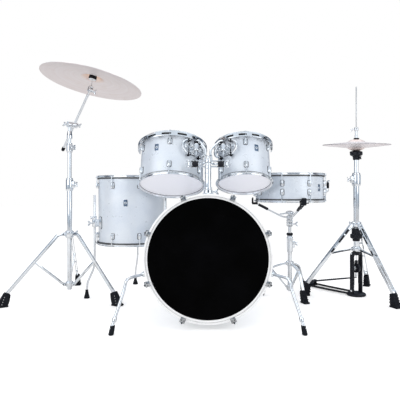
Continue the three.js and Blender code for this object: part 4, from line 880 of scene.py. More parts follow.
for drum, side in ((tom12, -1), (tom10, 1)):
    suspension_band(drum)
    deg = -BRACKET_DEG if side < 0 else 180 + BRACKET_DEG
    z = drum.depth * BRACKET_Z
    out = drum.r + BRACKET_OUT
    outward = around(deg) @ facing(drum.r, z)
    cast = Shape().plate(panel(19, 28, 9), -2, 5, outward, 1.6, 3)
    cast.plate(panel(13, 20, 6), 5, 8, outward, 1.2, 3)
    cast.plate(panel(9, 14, 3), 7, BRACKET_OUT - 4, outward, 1.6, 3)
    cast.tube([(5.9, -18), (11, -18, 1.5), (13, -14, 1.5), (13, 14, 1.5), (11, 18, 1.5), (5.9, 18)],
        40, around(deg) @ moved(out, 0, z))
    for rib in (-8, 0, 8):
        cast.tube([(12.6, -1.4), (13.6, -0.8), (13.6, 0.8), (12.6, 1.4)], 40,
            around(deg) @ moved(out, 0, z + rib))
    # a pair of curved arms carries the clamp from the band above
    flat = outward @ moved(0, 0, 13)
    plane = flat @ Matrix.Diagonal((1.28, 0.8, 1, 1))
    mounts = Shape()
    for start in (-68, 112):
        cast.arc([(46, -4, 3), (57, -4, 3), (57, 4, 3), (46, 4, 3)], start, start + 136, plane, 32,
            1)
        cast.arc([(49.5, 3, 1), (53.5, 3, 1), (53.5, 5.4, 1), (49.5, 5.4, 1)], start + 14,
            start + 122, plane, 28, 0.5)
        middle = start + 68
        inner, outer = (plane @ around(middle) @ Vector((x, 0, 0)) for x in (14, 48))
        tangent = plane.to_3x3() @ polar(middle + 90, 1)
        cast.bar(inner, outer, 13, 5, tangent, 1.4)
        for end in (start + 5, start + 131):
            on_arm = flat.inverted() @ plane @ around(end) @ Vector((51.5, 0, 0))
            hub_at = flat @ Matrix.Translation(on_arm)
            mounts.tube([(3, -7), (9, -7, 1.5), (9, -4.2, 1), (6.5, -3.6), (6.5, 3.6), (9, 4.2, 1),
                (9, 7, 1.5), (3, 7)], 28, hub_at)
            cast.turn([(0, 5), (5, 7, 0.6), (5, 9.4, 1), (0, 9.8)], 6, hub_at)
    drum.piece("bracket_grommets", mounts, "rubber")
    away = polar(side * 90 + deg, 1)
    centre = polar(deg, out, z)
    cast.wing(centre + away * 10, away, UP)
    drum.piece("bracket", cast, "chrome")
    pad = Shape().plate(panel(21, 30, 9.5), -2.5, 1.4, outward, 0.3)
    drum.piece("bracket_gasket", pad, "rubber")

    rod_top = drum.place @ polar(deg, out, z + 22)
    rod_low = drum.place @ polar(deg, out, z - 38)
    run = ((104, 0, 0), (BALL_X, 0, 0), (34, 0, 0), (19, 21, 5), (14, 38, 36), (15, 62, 72))
    line = [socket_at @ Vector((side * x, y, HEAD_Z + rise)) for x, y, rise in run]
    over = rod_top + drum.up * 14 - Vector((side * 12, 0, 0))
    arm = Shape().sweep(curve_through([*line, over, rod_top, rod_low], 64), 5.4, 18)
    memory = basis(drum.place @ polar(deg, out, z + 25), drum.up)
    arm.wing(memory @ Vector((8, 0, 0)), drum.place.to_3x3() @ polar(deg, 1), drum.up, reach=15,
        stem=2.4, length=7)
    drum.piece("arm_rod", arm, "chrome", "arm", STILL)
    knuckle = Shape().ball(line[1], BALL_R - 0.2, 36)
    knuckle.tube([(5.3, -6.4), (10, -6.4, 1.5), (11, 0, 1.5), (10, 6.4, 1.5), (5.3, 6.4)], 32,
        memory)
    drum.piece("arm_ball", knuckle, "black", "arm", STILL)

# ---- floor tom brackets and legs ----
LEG_R, LEG_OUT, LEG_FOOT, LEG_BEND, BRACKET_UP = 6, 32, 50, 160, 400
FLOOR_PLACE = moved(floor_tom.foot.x, floor_tom.foot.y, 0)
for letter, deg, turn in (("a", -146, 158), ("b", 90, 115), ("c", -22, -22)):
    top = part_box(f"floor_tom_leg_{letter}")[1].z / MM
    out = floor_tom.r + LEG_OUT
    outward = around(deg) @ facing(floor_tom.r, BRACKET_UP)
    cast = Shape().plate(panel(18, 31, 10), -4, 5, outward, 1.4)
    cast.plate(panel(9, 19, 4), 4, LEG_OUT - 4, outward, 2)
    cast.tube([(6.3, -20), (13, -20, 2.5), (13, 20, 2.5), (6.3, 20)], 36,
        around(deg) @ moved(out, 0, BRACKET_UP))
    for up in (-24, 24):
        cast.turn([(0, 4.5), (4.4, 4.5), (3.8, 7.4, 1), (0, 7.6)], 16, outward @ moved(0, up, 0))
    cast.wing(polar(deg, out + 10, BRACKET_UP), polar(deg, 1), UP)
    floor_tom.piece(f"bracket_{letter}", cast, "chrome", at=FLOOR_PLACE)
    pad = Shape().plate(panel(19.5, 32.5, 10), -5, 1.2, outward, 0.3)
    floor_tom.piece(f"bracket_gasket_{letter}", pad, "rubber", at=FLOOR_PLACE)

    x, y, _ = polar(deg, out)

    def along(reach, height):
        return polar(turn, reach, height, (x, y))

    leg = Shape().rod(along(0, LEG_BEND + 30), along(0, top), LEG_R, sides=24, edge=1.5, steps=2)
    low_run = [along(0, LEG_BEND + 36), along(0, LEG_BEND + 26), along(12, LEG_BEND - 12),
        along(LEG_FOOT - 7, 86), along(LEG_FOOT, 46), along(LEG_FOOT, 36)]
    leg.sweep(curve_through(low_run, 32, 0.4), LEG_R, 24)
    memory = BRACKET_UP + 28.6
    leg.tube([(6, -8), (11, -8, 1.5), (11, 8, 1.5), (6, 8)], 32, moved(x, y, memory))
    leg.wing(polar(deg, out + 9, memory), polar(deg, 1), UP, reach=16, stem=2.6, length=7)
    floor_tom.piece(f"leg_{letter}_rod", leg, "chrome", f"leg_{letter}", FLOOR_PLACE)
    boot = Shape().turn([(0, 0), (14.5, 0, 2), (15.6, 4, 1.5), (14.6, 9, 1), (12.4, 11, 1),
        (13, 12.6, 1), (11.6, 20, 2), (9.6, 22, 0.8), (10, 23.6, 0.8), (8.4, 32, 1.5), (7.6, 46, 1),
        (6, 46)], 40, Matrix.Translation(along(LEG_FOOT, 0)))
    floor_tom.piece(f"leg_{letter}_boot", boot, "rubber", f"leg_{letter}", FLOOR_PLACE)


# ---- snare drum: strainer, butt, lever and wires ----
middle, r = snare.depth / 2, snare.r
strainer = Shape().block((r + 3, 0, middle), (8, 36, 62), 2.5, steps=3)
strainer.block((r + 10, 0, middle - 4), (18, 25, 46), 3.5, steps=3)
for y in (-13.5, 13.5):
    strainer.block((r + 15, y, middle - 14), (18, 4, 22), 1.6, steps=3)
strainer.post(middle + 17, middle + 30, 8, x=r + 11, sides=24, edge=1)
knurl = Shape().post(-6, 6, 0.9, x=8, sides=6)
strainer.copy(knurl, *[moved(r + 11, 0, middle + 23.5) @ around(a) for a in ring(18)])
for z in (-25, 25):
    strainer.rod((r + 4, 0, middle + z), (r + 8.6, 0, middle + z), 4.2, 3.6, sides=16)
strainer.block((r + 8, 0, 12), (8, 26, 18), 1.5)
snare.piece("strainer", strainer, "chrome")
butt = Shape().block((-r - 3, 0, 30), (8, 42, 26), 2.5, steps=3)
butt.block((-r - 9, 0, 26), (11, 34, 16), 2.5, steps=3)
for y in (-11, 11):
    butt.rod((-r - 14, y, 26), (-r - 17, y, 26), 4.4, 3.8, sides=18)
    butt.rod((-r - 16.4, y, 26), (-r - 17.6, y, 26), 2.2, sides=6)
snare.piece("butt_plate", butt, "chrome")

lever_at = joint_at("snare_throw_off_swing") - snare.foot
lever = Shape().rod((lever_at.x, -11, lever_at.z), (lever_at.x, 11, lever_at.z), 4.6, sides=24)
arm = [(-4, -5, 3), (4.5, -5, 3), (6, 14, 4), (3.6, 40, 3), (6, 50, 3), (15, 53, 3), (14, 58, 2),
    (1, 57, 5), (-2.6, 44, 3), (-3, 14, 4)]
lever.plate([(x + lever_at.x + 2, y + lever_at.z, f) for x, y, f in arm], -6.5, 6.5, ON_EDGE, 1.6,
    3)
snare.piece("lever", lever, "chrome", "throw_off")
hold = Shape().block((lever_at.x + 4, 0, lever_at.z + 30), (10.5, 16, 34), 3, steps=3)
hold.copy(Shape().block((lever_at.x + 9.4, 0, 0), (1.6, 13, 2), 0.6),
    *[moved(0, 0, lever_at.z + 20 + 5 * k) for k in range(5)])
snare.piece("lever_grip", hold, "rubber", "throw_off")

low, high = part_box("snare_wires")
wire_z = (low.z + high.z) / 2 / MM - snare.foot.z
reach = (high.x - low.x) / 2 / MM
STRAND = reach - 44
COILS, WIRES, WIRE_GAP = 130, 20, 1.9
ridge = [(0.55 if i % 2 else 0.95, STRAND * (2 * i / COILS - 1)) for i in range(COILS + 1)]
ridge = [(0, -STRAND), *ridge, (0, STRAND)]
strand = Shape().turn(ridge, 6, basis((0, 0, 0), X, UP))
places = [moved(0, (i - (WIRES - 1) / 2) * WIRE_GAP, wire_z) for i in range(WIRES)]
comb = Shape().copy(strand, *places)
for side in (-1, 1):
    comb.block((side * STRAND, 0, wire_z), (13, 41, 1.8), 0.5)
    for y in (-15, 0, 15):
        comb.post(wire_z - 1.5, wire_z + 0.9, 2, x=side * STRAND, y=y, sides=12, edge=0.3)
snare.piece("wires", comb, "wire", "wires")
strap = Shape()
for side in (-1, 1):
    strap.block((side * (STRAND + 24), 0, wire_z - 0.2), (40, 22, 0.9), 0.3)
snare.piece("straps", strap, "rubber", "wires")


# ---- stand hardware ----
def run_of(path, deep):
    """The outline of a strip of even depth along a path of (reach, height)."""
    sides = []
    for i, (r, z) in enumerate(path):
        (r0, z0), (r1, z1) = path[max(i - 1, 0)][:2], path[min(i + 1, len(path) - 1)][:2]
        along = Vector((r1 - r0, z1 - z0)).normalized() * deep / 2
        sides.append((Vector((r - along.y, z + along.x)), Vector((r + along.y, z - along.x))))
    return [tuple(a) for a, _ in sides] + [tuple(b) for _, b in reversed(sides)]


def soft_path(path, steps=20):
    """A bent leg's path with its corner drawn into a bend."""
    return [tuple(p) for p in curve_through(path, steps, 0.35)]


def painted_shade_strips(deg, path, deep, half, spans):
    """Black strips set in the outer faces of a strip pair, over spans of its last run: painted shade and dark
    reflection.
    """
    marks = Shape()
    (r0, z0), (r1, z1) = path[-2], path[-1]
    for low, high in spans:
        ends = [(r0 + (r1 - r0) * t, z0 + (z1 - z0) * t) for t in (low, high)]
        for s in (-1, 1):
            marks.plate(run_of(ends, deep), s * half - 0.4, s * half + 0.25, around(deg) @ ON_EDGE,
                0.2)
    return marks


def rivet(shape, deg, r, z, half, radius=3.4):
    """A pair of rivet heads on the two faces of a joint."""
    side = polar(deg + 90, 1)
    at = polar(deg, r, z)
    for s in (-1, 1):
        shape.turn([(0, -4), (radius, -4), (radius, 0.8, 0.6), (radius * 0.6, 1.9, 0.6), (0, 2)],
            16, basis(at, side * s, UP), up=half)
    return shape


def clamp(shape, low, high, r, inner, deg):
    """A split clamp round a tube: flared body, pinch lugs and a wing bolt."""
    mid = (low + high) / 2
    shape.tube([(inner, low), (r - 2.5, low, 1), (r - 1.5, low + 5, 1), (r, low + 8, 2),
        (r, high - 11, 2), (r - 2.5, high - 7, 1.5), (r - 2.5, high, 1.5), (inner, high)])
    tall = (high - low) * 0.5
    for side in (-1, 1):
        centre = polar(deg, r + 4) + polar(deg + 90, side * 4.2)
        shape.block((centre.x, centre.y, mid), (17, 6.4, tall), 2.4, turn=deg, steps=3)
    pin, side = polar(deg, r + 5, mid), polar(deg + 90, 12)
    shape.rod(pin - side, pin + side, 4.4, sides=6, edge=0.6)
    shape.wing(polar(deg, r + 4, mid), polar(deg, 1), UP, length=19)
    return shape


def bushing(low, high, r, inner):
    """A plastic sleeve in the end of a tube."""
    return Shape().tube([(inner, low), (r, low, 0.8), (r, high, 1.2), (inner, high)], 40)


def foot(deg, r, long, wide, high, lean=0.0, ribs=4, smooth=False):
    """A moulded rubber boot: a flared sole, and ridges that grow smaller up to the leg."""
    place = around(deg) @ moved(r, 0, 0)
    slim = 0 if smooth else 5
    core = [(-long * 0.40, 3, 2), (long * 0.44, 3, 2), (long * 0.46 - slim, high * 0.12, 3),
        (long * 0.38 - slim - lean * 0.4, high * 0.5, 9),
        (long * 0.24 - slim * 0.4 - lean, high - 1, 6), (-long * 0.24 - lean, high * 0.82, 5),
        (slim * 0.6 - long * 0.37 - lean * 0.5, high * 0.4, 9)]
    made = Shape().plate(core, -wide / 2 + 3, wide / 2 - 3, ON_EDGE, 3, 4)
    sole = [(-long * 0.44, 0, 1), (long * 0.47, 0, 1), (long * 0.55, high * 0.08, 2),
        (long * 0.48, high * 0.14, 2), (-long * 0.44, high * 0.12, 2)]
    made.plate(sole, -wide / 2 + 0.4, wide / 2 - 0.4, ON_EDGE, 1.4, 3)
    for k in range(0 if smooth else ribs):
        t = (k + 1) / (ribs + 0.6)
        height = high * (0.14 + 0.78 * t)
        reach, back = long * (0.47 - 0.19 * t), lean * (0.1 + 0.85 * t)
        made.block((-back, 0, height), (2 * reach, wide - 1 - 5 * t, high * 0.085), 1.9, steps=3)
    for v in made.bm.verts:
        v.co.y *= 1 - 0.2 * max(0.0, v.co.z / high - 0.15)
    made.bm.transform(place)
    return made


def foot_rivets(deg, r, long, wide, high, lean):
    """A row of rivet heads up both faces of a smooth boot."""
    row = Shape()
    for k in range(4):
        t = 0.2 + 0.16 * k
        out = (wide / 2 - 3) * (1 - 0.2 * (t - 0.15))
        x, z = long * 0.16 - lean * t, high * t
        for s in (-1, 1):
            row.rod((x, s * (out - 2), z), (x, s * (out + 0.7), z), 2.5, 2, sides=16, edge=0.4)
    row.bm.transform(around(deg) @ moved(r, 0, 0))
    return row


def twin_strips(deg, path, wide, thick, gap, rivets):
    """Two flat strips side by side along a path of (reach, height), riveted along their run."""
    leg = Shape()
    side = polar(deg + 90, 1)
    off = (gap + thick) / 2
    for s in (-1, 1):
        leg.upright(deg, run_of(path, wide), s * off, thick / 2, 0.8)
    (r0, z0), (r1, z1) = path[-2], path[-1]
    for t in rivets:
        p = polar(deg, r0 + (r1 - r0) * t, z0 + (z1 - z0) * t)
        half = off + thick / 2 + 1.4
        leg.rod(p - side * half, p + side * half, 3.4, sides=16, edge=0.8)
        leg.rod(p - side * (gap / 2), p + side * (gap / 2), 4.6, sides=16, edge=0.3)
    a, b = polar(deg, r0, z0), polar(deg, r1, z1)
    leg.bar(b - (b - a).normalized() * 20, b, gap + 4, wide, side, 1.5)
    return leg


# ---- snare stand, about its own tube ----
stand_at = joint_at("snare_basket_tilt")
TILT_Z = stand_at.z
snare_stand = Group("snare", moved(stand_at.x, stand_at.y, 0))
STAND_FEET = (168, -72, 48)
base = Shape().post(30, 240, 12, sides=40, edge=1)
base.tube([(9.4, 245), (12, 245), (12, 240), (9.4, 240)], 40)
clamp(base, 237, 328, 17, 9.4, 20)
base.tube([(11.8, 166), (18, 166, 1.5), (22, 170, 1.5), (22, 186, 2), (15, 192, 1.5), (11.8, 192)])
base.tube([(11.8, 34), (18, 36, 1.5), (18, 57, 2), (11.8, 60)])
boots = Shape()
for deg in STAND_FEET:
    channel = soft_path([(18, 178), (98, 146), (158, 16)])
    for s in (-1, 1):
        base.upright(deg, run_of(channel, 11), s * 5.2, 1.2, 0.5)
    upper = [(r + 2.2, z + 3.6) for r, z in channel]
    base.upright(deg, run_of(upper, 2.4), 0, 5.4, 0.5)
    base.upright(deg, run_of([(14, 47), (98, 146)], 9), 0, 3.6, 1.2)
    rivet(base, deg, 98, 146, 6.4, 4)
    rivet(base, deg, 22, 177, 6.4, 3.6)
    rivet(base, deg, 19, 50, 4.8, 3.6)
    boots.copy(foot(deg, 158, long=48, wide=30, high=66, lean=24), STILL)
snare_stand.piece("stand_tripod", base, "chrome", "stand_base")
snare_stand.piece("stand_feet", boots, "rubber", "stand_base")
snare_stand.piece("stand_bushing", bushing(326, 329.2, 13.5, 9.4), "rubber", "stand_base")

tube = Shape().post(150, TILT_Z - 12, 9, sides=32)
lock = Shape().tube([(8.8, 329.6), (15, 329.6, 1), (17.5, 333, 1), (17.5, 339, 1.5), (15, 343, 1),
    (8.8, 343)], 40)
snare_stand.piece("stand_lock", lock, "black", "stand_tube")
tube.rod((-7.8, 0, TILT_Z), (7.8, 0, TILT_Z), 13, sides=40, edge=0.8)
snare_stand.piece("stand_riser", tube, "chrome", "stand_tube")

basket = Shape()
for s in (-1, 1):
    basket.rod((s * 8.3, 0, TILT_Z), (s * 16, 0, TILT_Z), 13, sides=40, edge=1.2, steps=2)
    basket.block((s * 12.2, 0, TILT_Z + 12), (7.5, 18, 22), 1.4)
basket.block((0, 0, TILT_Z + 19), (34, 21, 9), 2.2, steps=3)
basket.wing((16, 0, TILT_Z), X, UP, length=19)
basket.post(TILT_Z + 18, 462, 7, sides=28)
basket.tube([(6.8, 414), (14, 415, 2), (19, 421, 1.5), (19, 431, 1.5), (13, 437, 2), (6.8, 438)])
basket.turn([(6.8, 443), (16, 443, 1.5), (21, 447, 1.5), (21, 456, 2), (14, 462, 2), (0, 463)], 48)
grips, arm_sleeves = Shape(), Shape()
BASKET_ARMS = (176, -80, 50)
hoop_foot = snare.foot.z - 13
for deg in BASKET_ARMS:
    path = [polar(deg, r, z) for r, z in ((12, 426), (40, 431), (92, 456), (140, 482), (176, 499),
        (190, 501))]
    run = curve_through(path, 34)
    basket.sweep(run, 4.8, 18)
    arm_sleeves.sweep(run[20:31], 7.4, 20)
    for s in (-1, 1):
        side = polar(deg + 90, s * 5.6)
        basket.bar(polar(deg, 14, 449) + side, polar(deg, 58, 441) + side, 2.4, 8,
            polar(deg + 90, 1), 0.6)
    pin, side = polar(deg, 56, 441), polar(deg + 90, 8.4)
    basket.rod(pin - side, pin + side, 3, sides=14, edge=0.6)
    claw = [(172, hoop_foot - 13, 5), (203.6, hoop_foot - 13, 8), (204, hoop_foot + 24, 4),
        (195.6, hoop_foot + 25, 3), (195.2, hoop_foot - 1.2, 2), (172, hoop_foot - 0.6, 2)]
    grips.upright(deg, claw, 0, 12, 2.2, 3)
    pad_at = around(deg) @ facing(197, hoop_foot + 6)
    grips.turn([(0, -1), (12, -1, 2), (11.6, 5.5, 2), (8, 7, 1.5), (0, 7.2)], 40,
        pad_at @ Matrix.Diagonal((1, 1.6, 1, 1)))
    for k in range(3):
        grips.block(polar(deg, 204, hoop_foot - 2 + 8 * k), (2.6, 18, 3), 0.9, turn=deg)
snare_stand.piece("basket_sleeves", arm_sleeves, "black", "basket")
snare_stand.piece("basket_arms", basket, "chrome", "basket")
snare_stand.piece("basket_grips", grips, "rubber", "basket")

# ---- crash stand, about its own tube ----
boom_joint = joint_at("crash_boom_tilt")
crash = Group("crash", moved(boom_joint.x, boom_joint.y, 0))
CRASH_FEET = (215.5, 330.5, 99)
COLLAR_Z = joint_at("crash_leg_a_swing").z
HUB_Z = joint_at("crash_strut_a_swing").z
PIVOT_R = (joint_at("crash_leg_a_swing") - boom_joint).xy.length
LEG_REACH = 330
SHOULDER = ((0, 0), (20, -1), (34, -6), (45, -18))
ANKLE = (LEG_REACH - 16, 57)
CRASH_BOOT = (55, 34, 72, 23)  # long, wide, high and lean
lower_top, middle_top = 638, 825
base = Shape().post(44, 600, 12.5, sides=40, edge=3, steps=3)
base.tube([(12.3, 60), (19, 61, 1.5), (20, 66, 1.5), (20, 82, 2), (15, 89, 2), (12.3, 90)])
clamp(base, 569, lower_top - 0.4, 19, 10.4, -20)
collar = Shape().tube([(12.8, 318), (18, 318, 1), (22, 324, 1.5), (22, 352, 2), (17, 358, 2),
    (12.8, 358)])
collar.wing(polar(35, 21, 344), polar(35, 1), UP, length=16)
for deg in CRASH_FEET:
    for s in (-1, 1):
        ear = [(13, -8, 2), (PIVOT_R + 1, -8, 7), (PIVOT_R + 7, 0, 6), (PIVOT_R + 1, 8, 7),
            (13, 8, 2)]
        base.upright(deg, [(x, y + HUB_Z, f) for x, y, f in ear], s * 5.2, 1.7, 0.6)
        ear = [(14, -10, 2), (PIVOT_R + 2, -9, 8), (PIVOT_R + 9, 0, 7), (PIVOT_R + 2, 9, 8),
            (14, 10, 2)]
        collar.upright(deg, [(x, y + COLLAR_Z, f) for x, y, f in ear], s * 8.6, 1.7, 0.6)
    rivet(base, deg, PIVOT_R, HUB_Z, 6.8)
    rivet(collar, deg, PIVOT_R, COLLAR_Z, 10.2)
crash.piece("lower_tube", base, "chrome", "base_tube")
crash.piece("lower_bushing", bushing(lower_top - 3, lower_top, 13.6, 10.2), "rubber", "base_tube")
crash.piece("collar", collar, "chrome", "leg_collar")

shoulder = [(PIVOT_R + out, COLLAR_Z + up) for out, up in SHOULDER]
knee_z = (COLLAR_Z + HUB_Z) / 2
(last_r, last_z), (ankle_r, ankle_z) = shoulder[-1], ANKLE
knee = (last_r + (ankle_r - last_r) * (last_z - knee_z) / (last_z - ankle_z), knee_z)
for letter, deg in zip("abc", CRASH_FEET):
    bend = [tuple(p) for p in curve_through(shoulder, 12, 0.5)]
    leg = twin_strips(deg, [*bend, ANKLE], 15, 3, 7, (0.02, 0.62, 0.86))
    side = polar(deg + 90, 1)
    for s in (-1, 1):
        eye = polar(deg, PIVOT_R, COLLAR_Z)
        leg.rod(eye + side * (s * 3.5), eye + side * (s * 6.5), 7.5, sides=28, edge=0.5)
    rivet(leg, deg, knee[0], knee[1], 6.6, 3.6)
    crash.piece(f"leg_{letter}_strips", leg, "chrome", f"leg_{letter}")
    boot = foot(deg, LEG_REACH, *CRASH_BOOT, smooth=True)
    studs = foot_rivets(deg, LEG_REACH, *CRASH_BOOT)
    crash.piece(f"leg_{letter}_foot", boot, "rubber", f"leg_{letter}")
    crash.piece(f"leg_{letter}_foot_rivets", studs, "plate", f"leg_{letter}")
    eye, end = polar(deg, PIVOT_R, HUB_Z), polar(deg, *knee)
    strut = Shape().bar(eye, end, 6.2, 14, side, 1.4)
    for p in (eye, end):
        strut.rod(p - side * 3.1, p + side * 3.1, 7, sides=28, edge=0.6)
    crash.piece(f"strut_{letter}_bar", strut, "chrome", f"strut_{letter}")

middle = Shape().post(465, 790, 10, sides=36)
clamp(middle, 773, middle_top - 0.4, 16, 7.9, -35)
crash.piece("middle_tube_body", middle, "chrome", "middle_tube")
crash.piece("middle_bushing", bushing(middle_top - 3, middle_top, 11.4, 7.8), "rubber",
    "middle_tube")

# boom: its clamp beside the tube, its rod and the tilter at its end
tilter_joint = joint_at("crash_tilter_tilt")
cymbal_up = Vector(joints["crash_cymbal_spin"]["axis"])
boom_side = Vector(joints["crash_boom_tilt"]["axis"]).normalized()
BOOM_OFFSET, BOOM_TAIL, TILTER_DROP = 26, 190, 38
if (tilter_joint - boom_joint).dot(boom_side) < 0:
    boom_side.negate()
boom_start = boom_joint + boom_side * BOOM_OFFSET
boom_dir = (tilter_joint - boom_start).normalized()
boom_long = (tilter_joint - boom_start).length
tilt_axis = Vector(joints["crash_tilter_tilt"]["axis"])
if tilt_axis.dot(boom_side) < 0:
    tilt_axis.negate()


def on_boom(side, along):
    return boom_joint + boom_side * side + boom_dir * along


top = Shape().post(600, boom_joint.z - 11, 7.5, sides=32)
top.tube([(7.3, 846), (13, 846, 1), (14, 850, 1), (14, 864, 2), (9.5, 890, 2), (7.3, 890)], 40)
top.bm.transform(crash.place)
top.rod(on_boom(-12, 0), on_boom(10, 0), 16, sides=48, edge=2, steps=3)
teeth = Shape().post(0, 3, 1.1, y=15.4, sides=6, edge=0.2)
top.copy(teeth, *[basis(on_boom(6.8, 0), boom_side, boom_dir) @ around(a) for a in ring(32)])
top.rod(on_boom(-11, 0), on_boom(-17, 0), 8.5, sides=6, edge=0.8)
top.wing(on_boom(-15, 0), -boom_side, boom_dir, reach=30, length=11)
crash.piece("top_tube_body", top, "chrome", "top_tube", STILL)

boom = Shape().rod(on_boom(10.3, 0), on_boom(42, 0), 16, sides=48, edge=2, steps=3)
boom_teeth = basis(on_boom(10.4, 0), boom_side, boom_dir)
boom.copy(teeth, *[boom_teeth @ around(a) for a in ring(32, 5.6)])
boom.rod(on_boom(40, 0), on_boom(45, 0), 9, sides=6, edge=0.8)
boom.wing(on_boom(43, 0), boom_side, boom_dir, reach=30, length=13)
boom.rod(on_boom(BOOM_OFFSET, -BOOM_TAIL), on_boom(BOOM_OFFSET, boom_long - 24), 6, sides=28,
    edge=1)
boom.rod(on_boom(BOOM_OFFSET, boom_long - 30), on_boom(BOOM_OFFSET, boom_long - 4), 3.6, sides=24)
boom.rod(on_boom(BOOM_OFFSET, boom_long - 34), on_boom(BOOM_OFFSET, boom_long - 22), 7.4, 5,
    sides=28, edge=1)
boom.rod(tilter_joint - tilt_axis * 6.5, tilter_joint + tilt_axis * 6.5, 11, sides=40, edge=0.8)
crash.piece("boom_rod", boom, "chrome", "boom_arm", STILL)
tail_end = basis(on_boom(BOOM_OFFSET, -BOOM_TAIL), boom_dir, boom_side)
grip = Shape().tube([(6.1, -2), (8, -2, 1), (9, 2, 1), (9, 20, 2), (6.1, 22)], 32, tail_end)
for z in (4, 8, 12, 16):
    grip.tube([(8.8, 0), (9.4, 1), (8.8, 2)], 32, tail_end, up=z)
crash.piece("boom_end", grip, "rubber", "boom_arm", STILL)


def cymbal(r, bell, bell_high, bow, hole, skin=1.4):
    """A lathed cymbal: its rim plane at z = 0, a shallow bow and a raised bell."""
    top = [(r, 0)]
    for i in range(1, 22):
        t = i / 21
        top.append((r + (bell + 8 - r) * t, bow * (t + 0.16 * t * (1 - t)) - 0.6 * t))
    for i in range(1, 11):
        t = i / 10
        reach = bell + 8 - (bell + 8 - hole) * t
        lift = math.sin(min(1.0, t * 1.12) * math.pi / 2)
        top.append((reach, bow + bell_high * (lift * lift * (3 - 2 * lift) * 0.5 + lift * 0.5)))
    low = [(x, z - skin * (0.7 if i == 0 else 1)) for i, (x, z) in enumerate(top)]
    return Shape().tube(top + low[::-1], 160)


CRASH_R, CRASH_BELL = 254, 48
crash_centre = joint_at("crash_cymbal_spin") - cymbal_up * CRASH_BELL
IN_CRASH = basis(crash_centre, cymbal_up, tilt_axis)
crash_plate = cymbal(CRASH_R, bell=48, bell_high=22, bow=26, hole=7)
crash.piece("plate", crash_plate, "bronze", "cymbal", IN_CRASH, rings=True)

tilter = Shape()
for s in (-1, 1):
    cheek = [(-8, -9, 3), (8, -9, 3), (11, 0, 5), (8, 17, 3), (-8, 17, 3), (-11, 0, 5)]
    tilter.plate(cheek, -2.1, 2.1, facing(s * 9.1, -TILTER_DROP), 0.8)
tilter.block((0, 0, -TILTER_DROP + 16), (22, 15, 7.5), 2, steps=3)
tilter.turn([(0, -24), (9, -24, 1), (9, -17, 2), (4, -13, 1), (4, 16), (0, 16)], 32)
tilter.wing((11, 0, -TILTER_DROP), X, UP, length=15)
tilter.turn([(0, 15.5), (17, 15.5, 1), (19, 18.4, 1), (0, 18.4)], 48)
tilter.tube([(4, 0.4), (15, 0.4, 0.8), (16, 2.4, 0.8), (9, 4, 1), (8, 9, 1), (4, 9)], 40,
    up=CRASH_BELL)
tilter.turn([(0, 6), (4, 6), (4, 27, 1), (0, 27)], 24, up=CRASH_BELL)
for k in range(5):
    z = CRASH_BELL + 21 + k * 1.1
    tilter.tube([(3.9, 0), (4.5, 0.4), (3.9, 0.8)], 20, up=z)
tilter.wing((0, 0, CRASH_BELL + 9), UP, X, reach=34, stem=5.2, length=6)
crash.piece("tilter_head", tilter, "chrome", "tilter", IN_CRASH)
# painted shade: black pieces on the tilter's cheeks and bolt ends stand in for the shade in its slot
slot_shade = Shape()
for s in (-1, 1):
    slot_shade.block((s * 11.3, 0, -TILTER_DROP + 9), (0.5, 4.6, 10), 0.2)
    slot_shade.rod((s * 11.0, 0, -TILTER_DROP), (s * 11.7, 0, -TILTER_DROP), 4.2, sides=6, edge=0.2)
crash.piece("tilter_painted_shade", slot_shade, "black", "tilter", IN_CRASH)
felts = Shape().tube([(5.5, 18.6), (19, 18.6, 2), (19.6, 28, 3), (19, 38, 2.5), (12.6, 44.6, 2),
    (5.5, 45.9)])
felts.tube([(19.4, 27.4), (19.9, 28), (19.4, 28.6)])
crash.piece("felts", felts, "felt", "tilter", IN_CRASH)

# ---- hi-hat stand, about its rod ----
low_hat, high_hat = hub("hihat_bottom_cymbal"), hub("hihat_top_cymbal")
hat_at = (low_hat + high_hat) / 2
hihat = Group("hihat", moved(hat_at.x, hat_at.y, 0))
MEETING = basis(hat_at, high_hat - low_hat)  # the plane that the leaning pair meets on
HAT_FEET = (180, -68, 59)
HAT_COLLAR_Z, HAT_HUB_Z, HAT_REACH = 386, 252, 278
ROD_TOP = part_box("hihat_pull_rod")[1].z / MM
heel = joint_at("hihat_pedal")
forward = Vector((hat_at.x - heel.x, hat_at.y - heel.y, 0))
PEDAL_LONG = forward.length
PEDAL = basis((hat_at.x, hat_at.y, 0), UP, forward)
DEEP, FRAME_TOP = 22, 240

frame_parts = Shape()
arch = [(-44, 14), (-44, FRAME_TOP - 2, 22), (44, FRAME_TOP - 2, 22), (44, 14), (32, 14),
    (32, FRAME_TOP - 18, 12), (-32, FRAME_TOP - 18, 12), (-32, 14)]
across = facing(0, 0)
frame_parts.plate(arch, -DEEP / 2, DEEP / 2, across, 2.6, 3)
for s in (-1, 1):
    rib = [(s * 34 + x, y + 125, f) for x, y, f in panel(1.6, 65, 1.5)]
    frame_parts.plate(rib, -DEEP / 2 - 1.2, DEEP / 2 + 1.2, across, 0.8)
    frame_parts.sweep(curve_through([(-20, s * 30, 10), (-PEDAL_LONG * 0.5, s * 32, 8),
        (4 - PEDAL_LONG, s * 34, 8)], 12), 5.6, 14)
    frame_parts.block((-PEDAL_LONG, s * 43, heel.z / 2 + 5), (22, 6, heel.z + 6), 2.4, steps=3)
frame_parts.tube([(16, -20), (19, -20, 1), (19, 0, 1), (3.7, 0)], 40, up=FRAME_TOP)
frame_parts.turn([(0, 0), (49, 0, 2), (52, 6, 2), (49, 13, 3), (38, 18, 4), (0, 20)])
heel_plate = [(-22, -46, 9), (22, -46, 5), (22, 46, 5), (-22, 46, 9)]
frame_parts.plate(heel_plate, 0.2, 11, moved(-PEDAL_LONG, 0, 0), 2.2, 3)
frame_parts.rod((-PEDAL_LONG, -46.5, heel.z), (-PEDAL_LONG, 46.5, heel.z), 4, sides=20)
hihat.piece("frame_casting", frame_parts, "black", "frame", PEDAL)
screws = Shape()
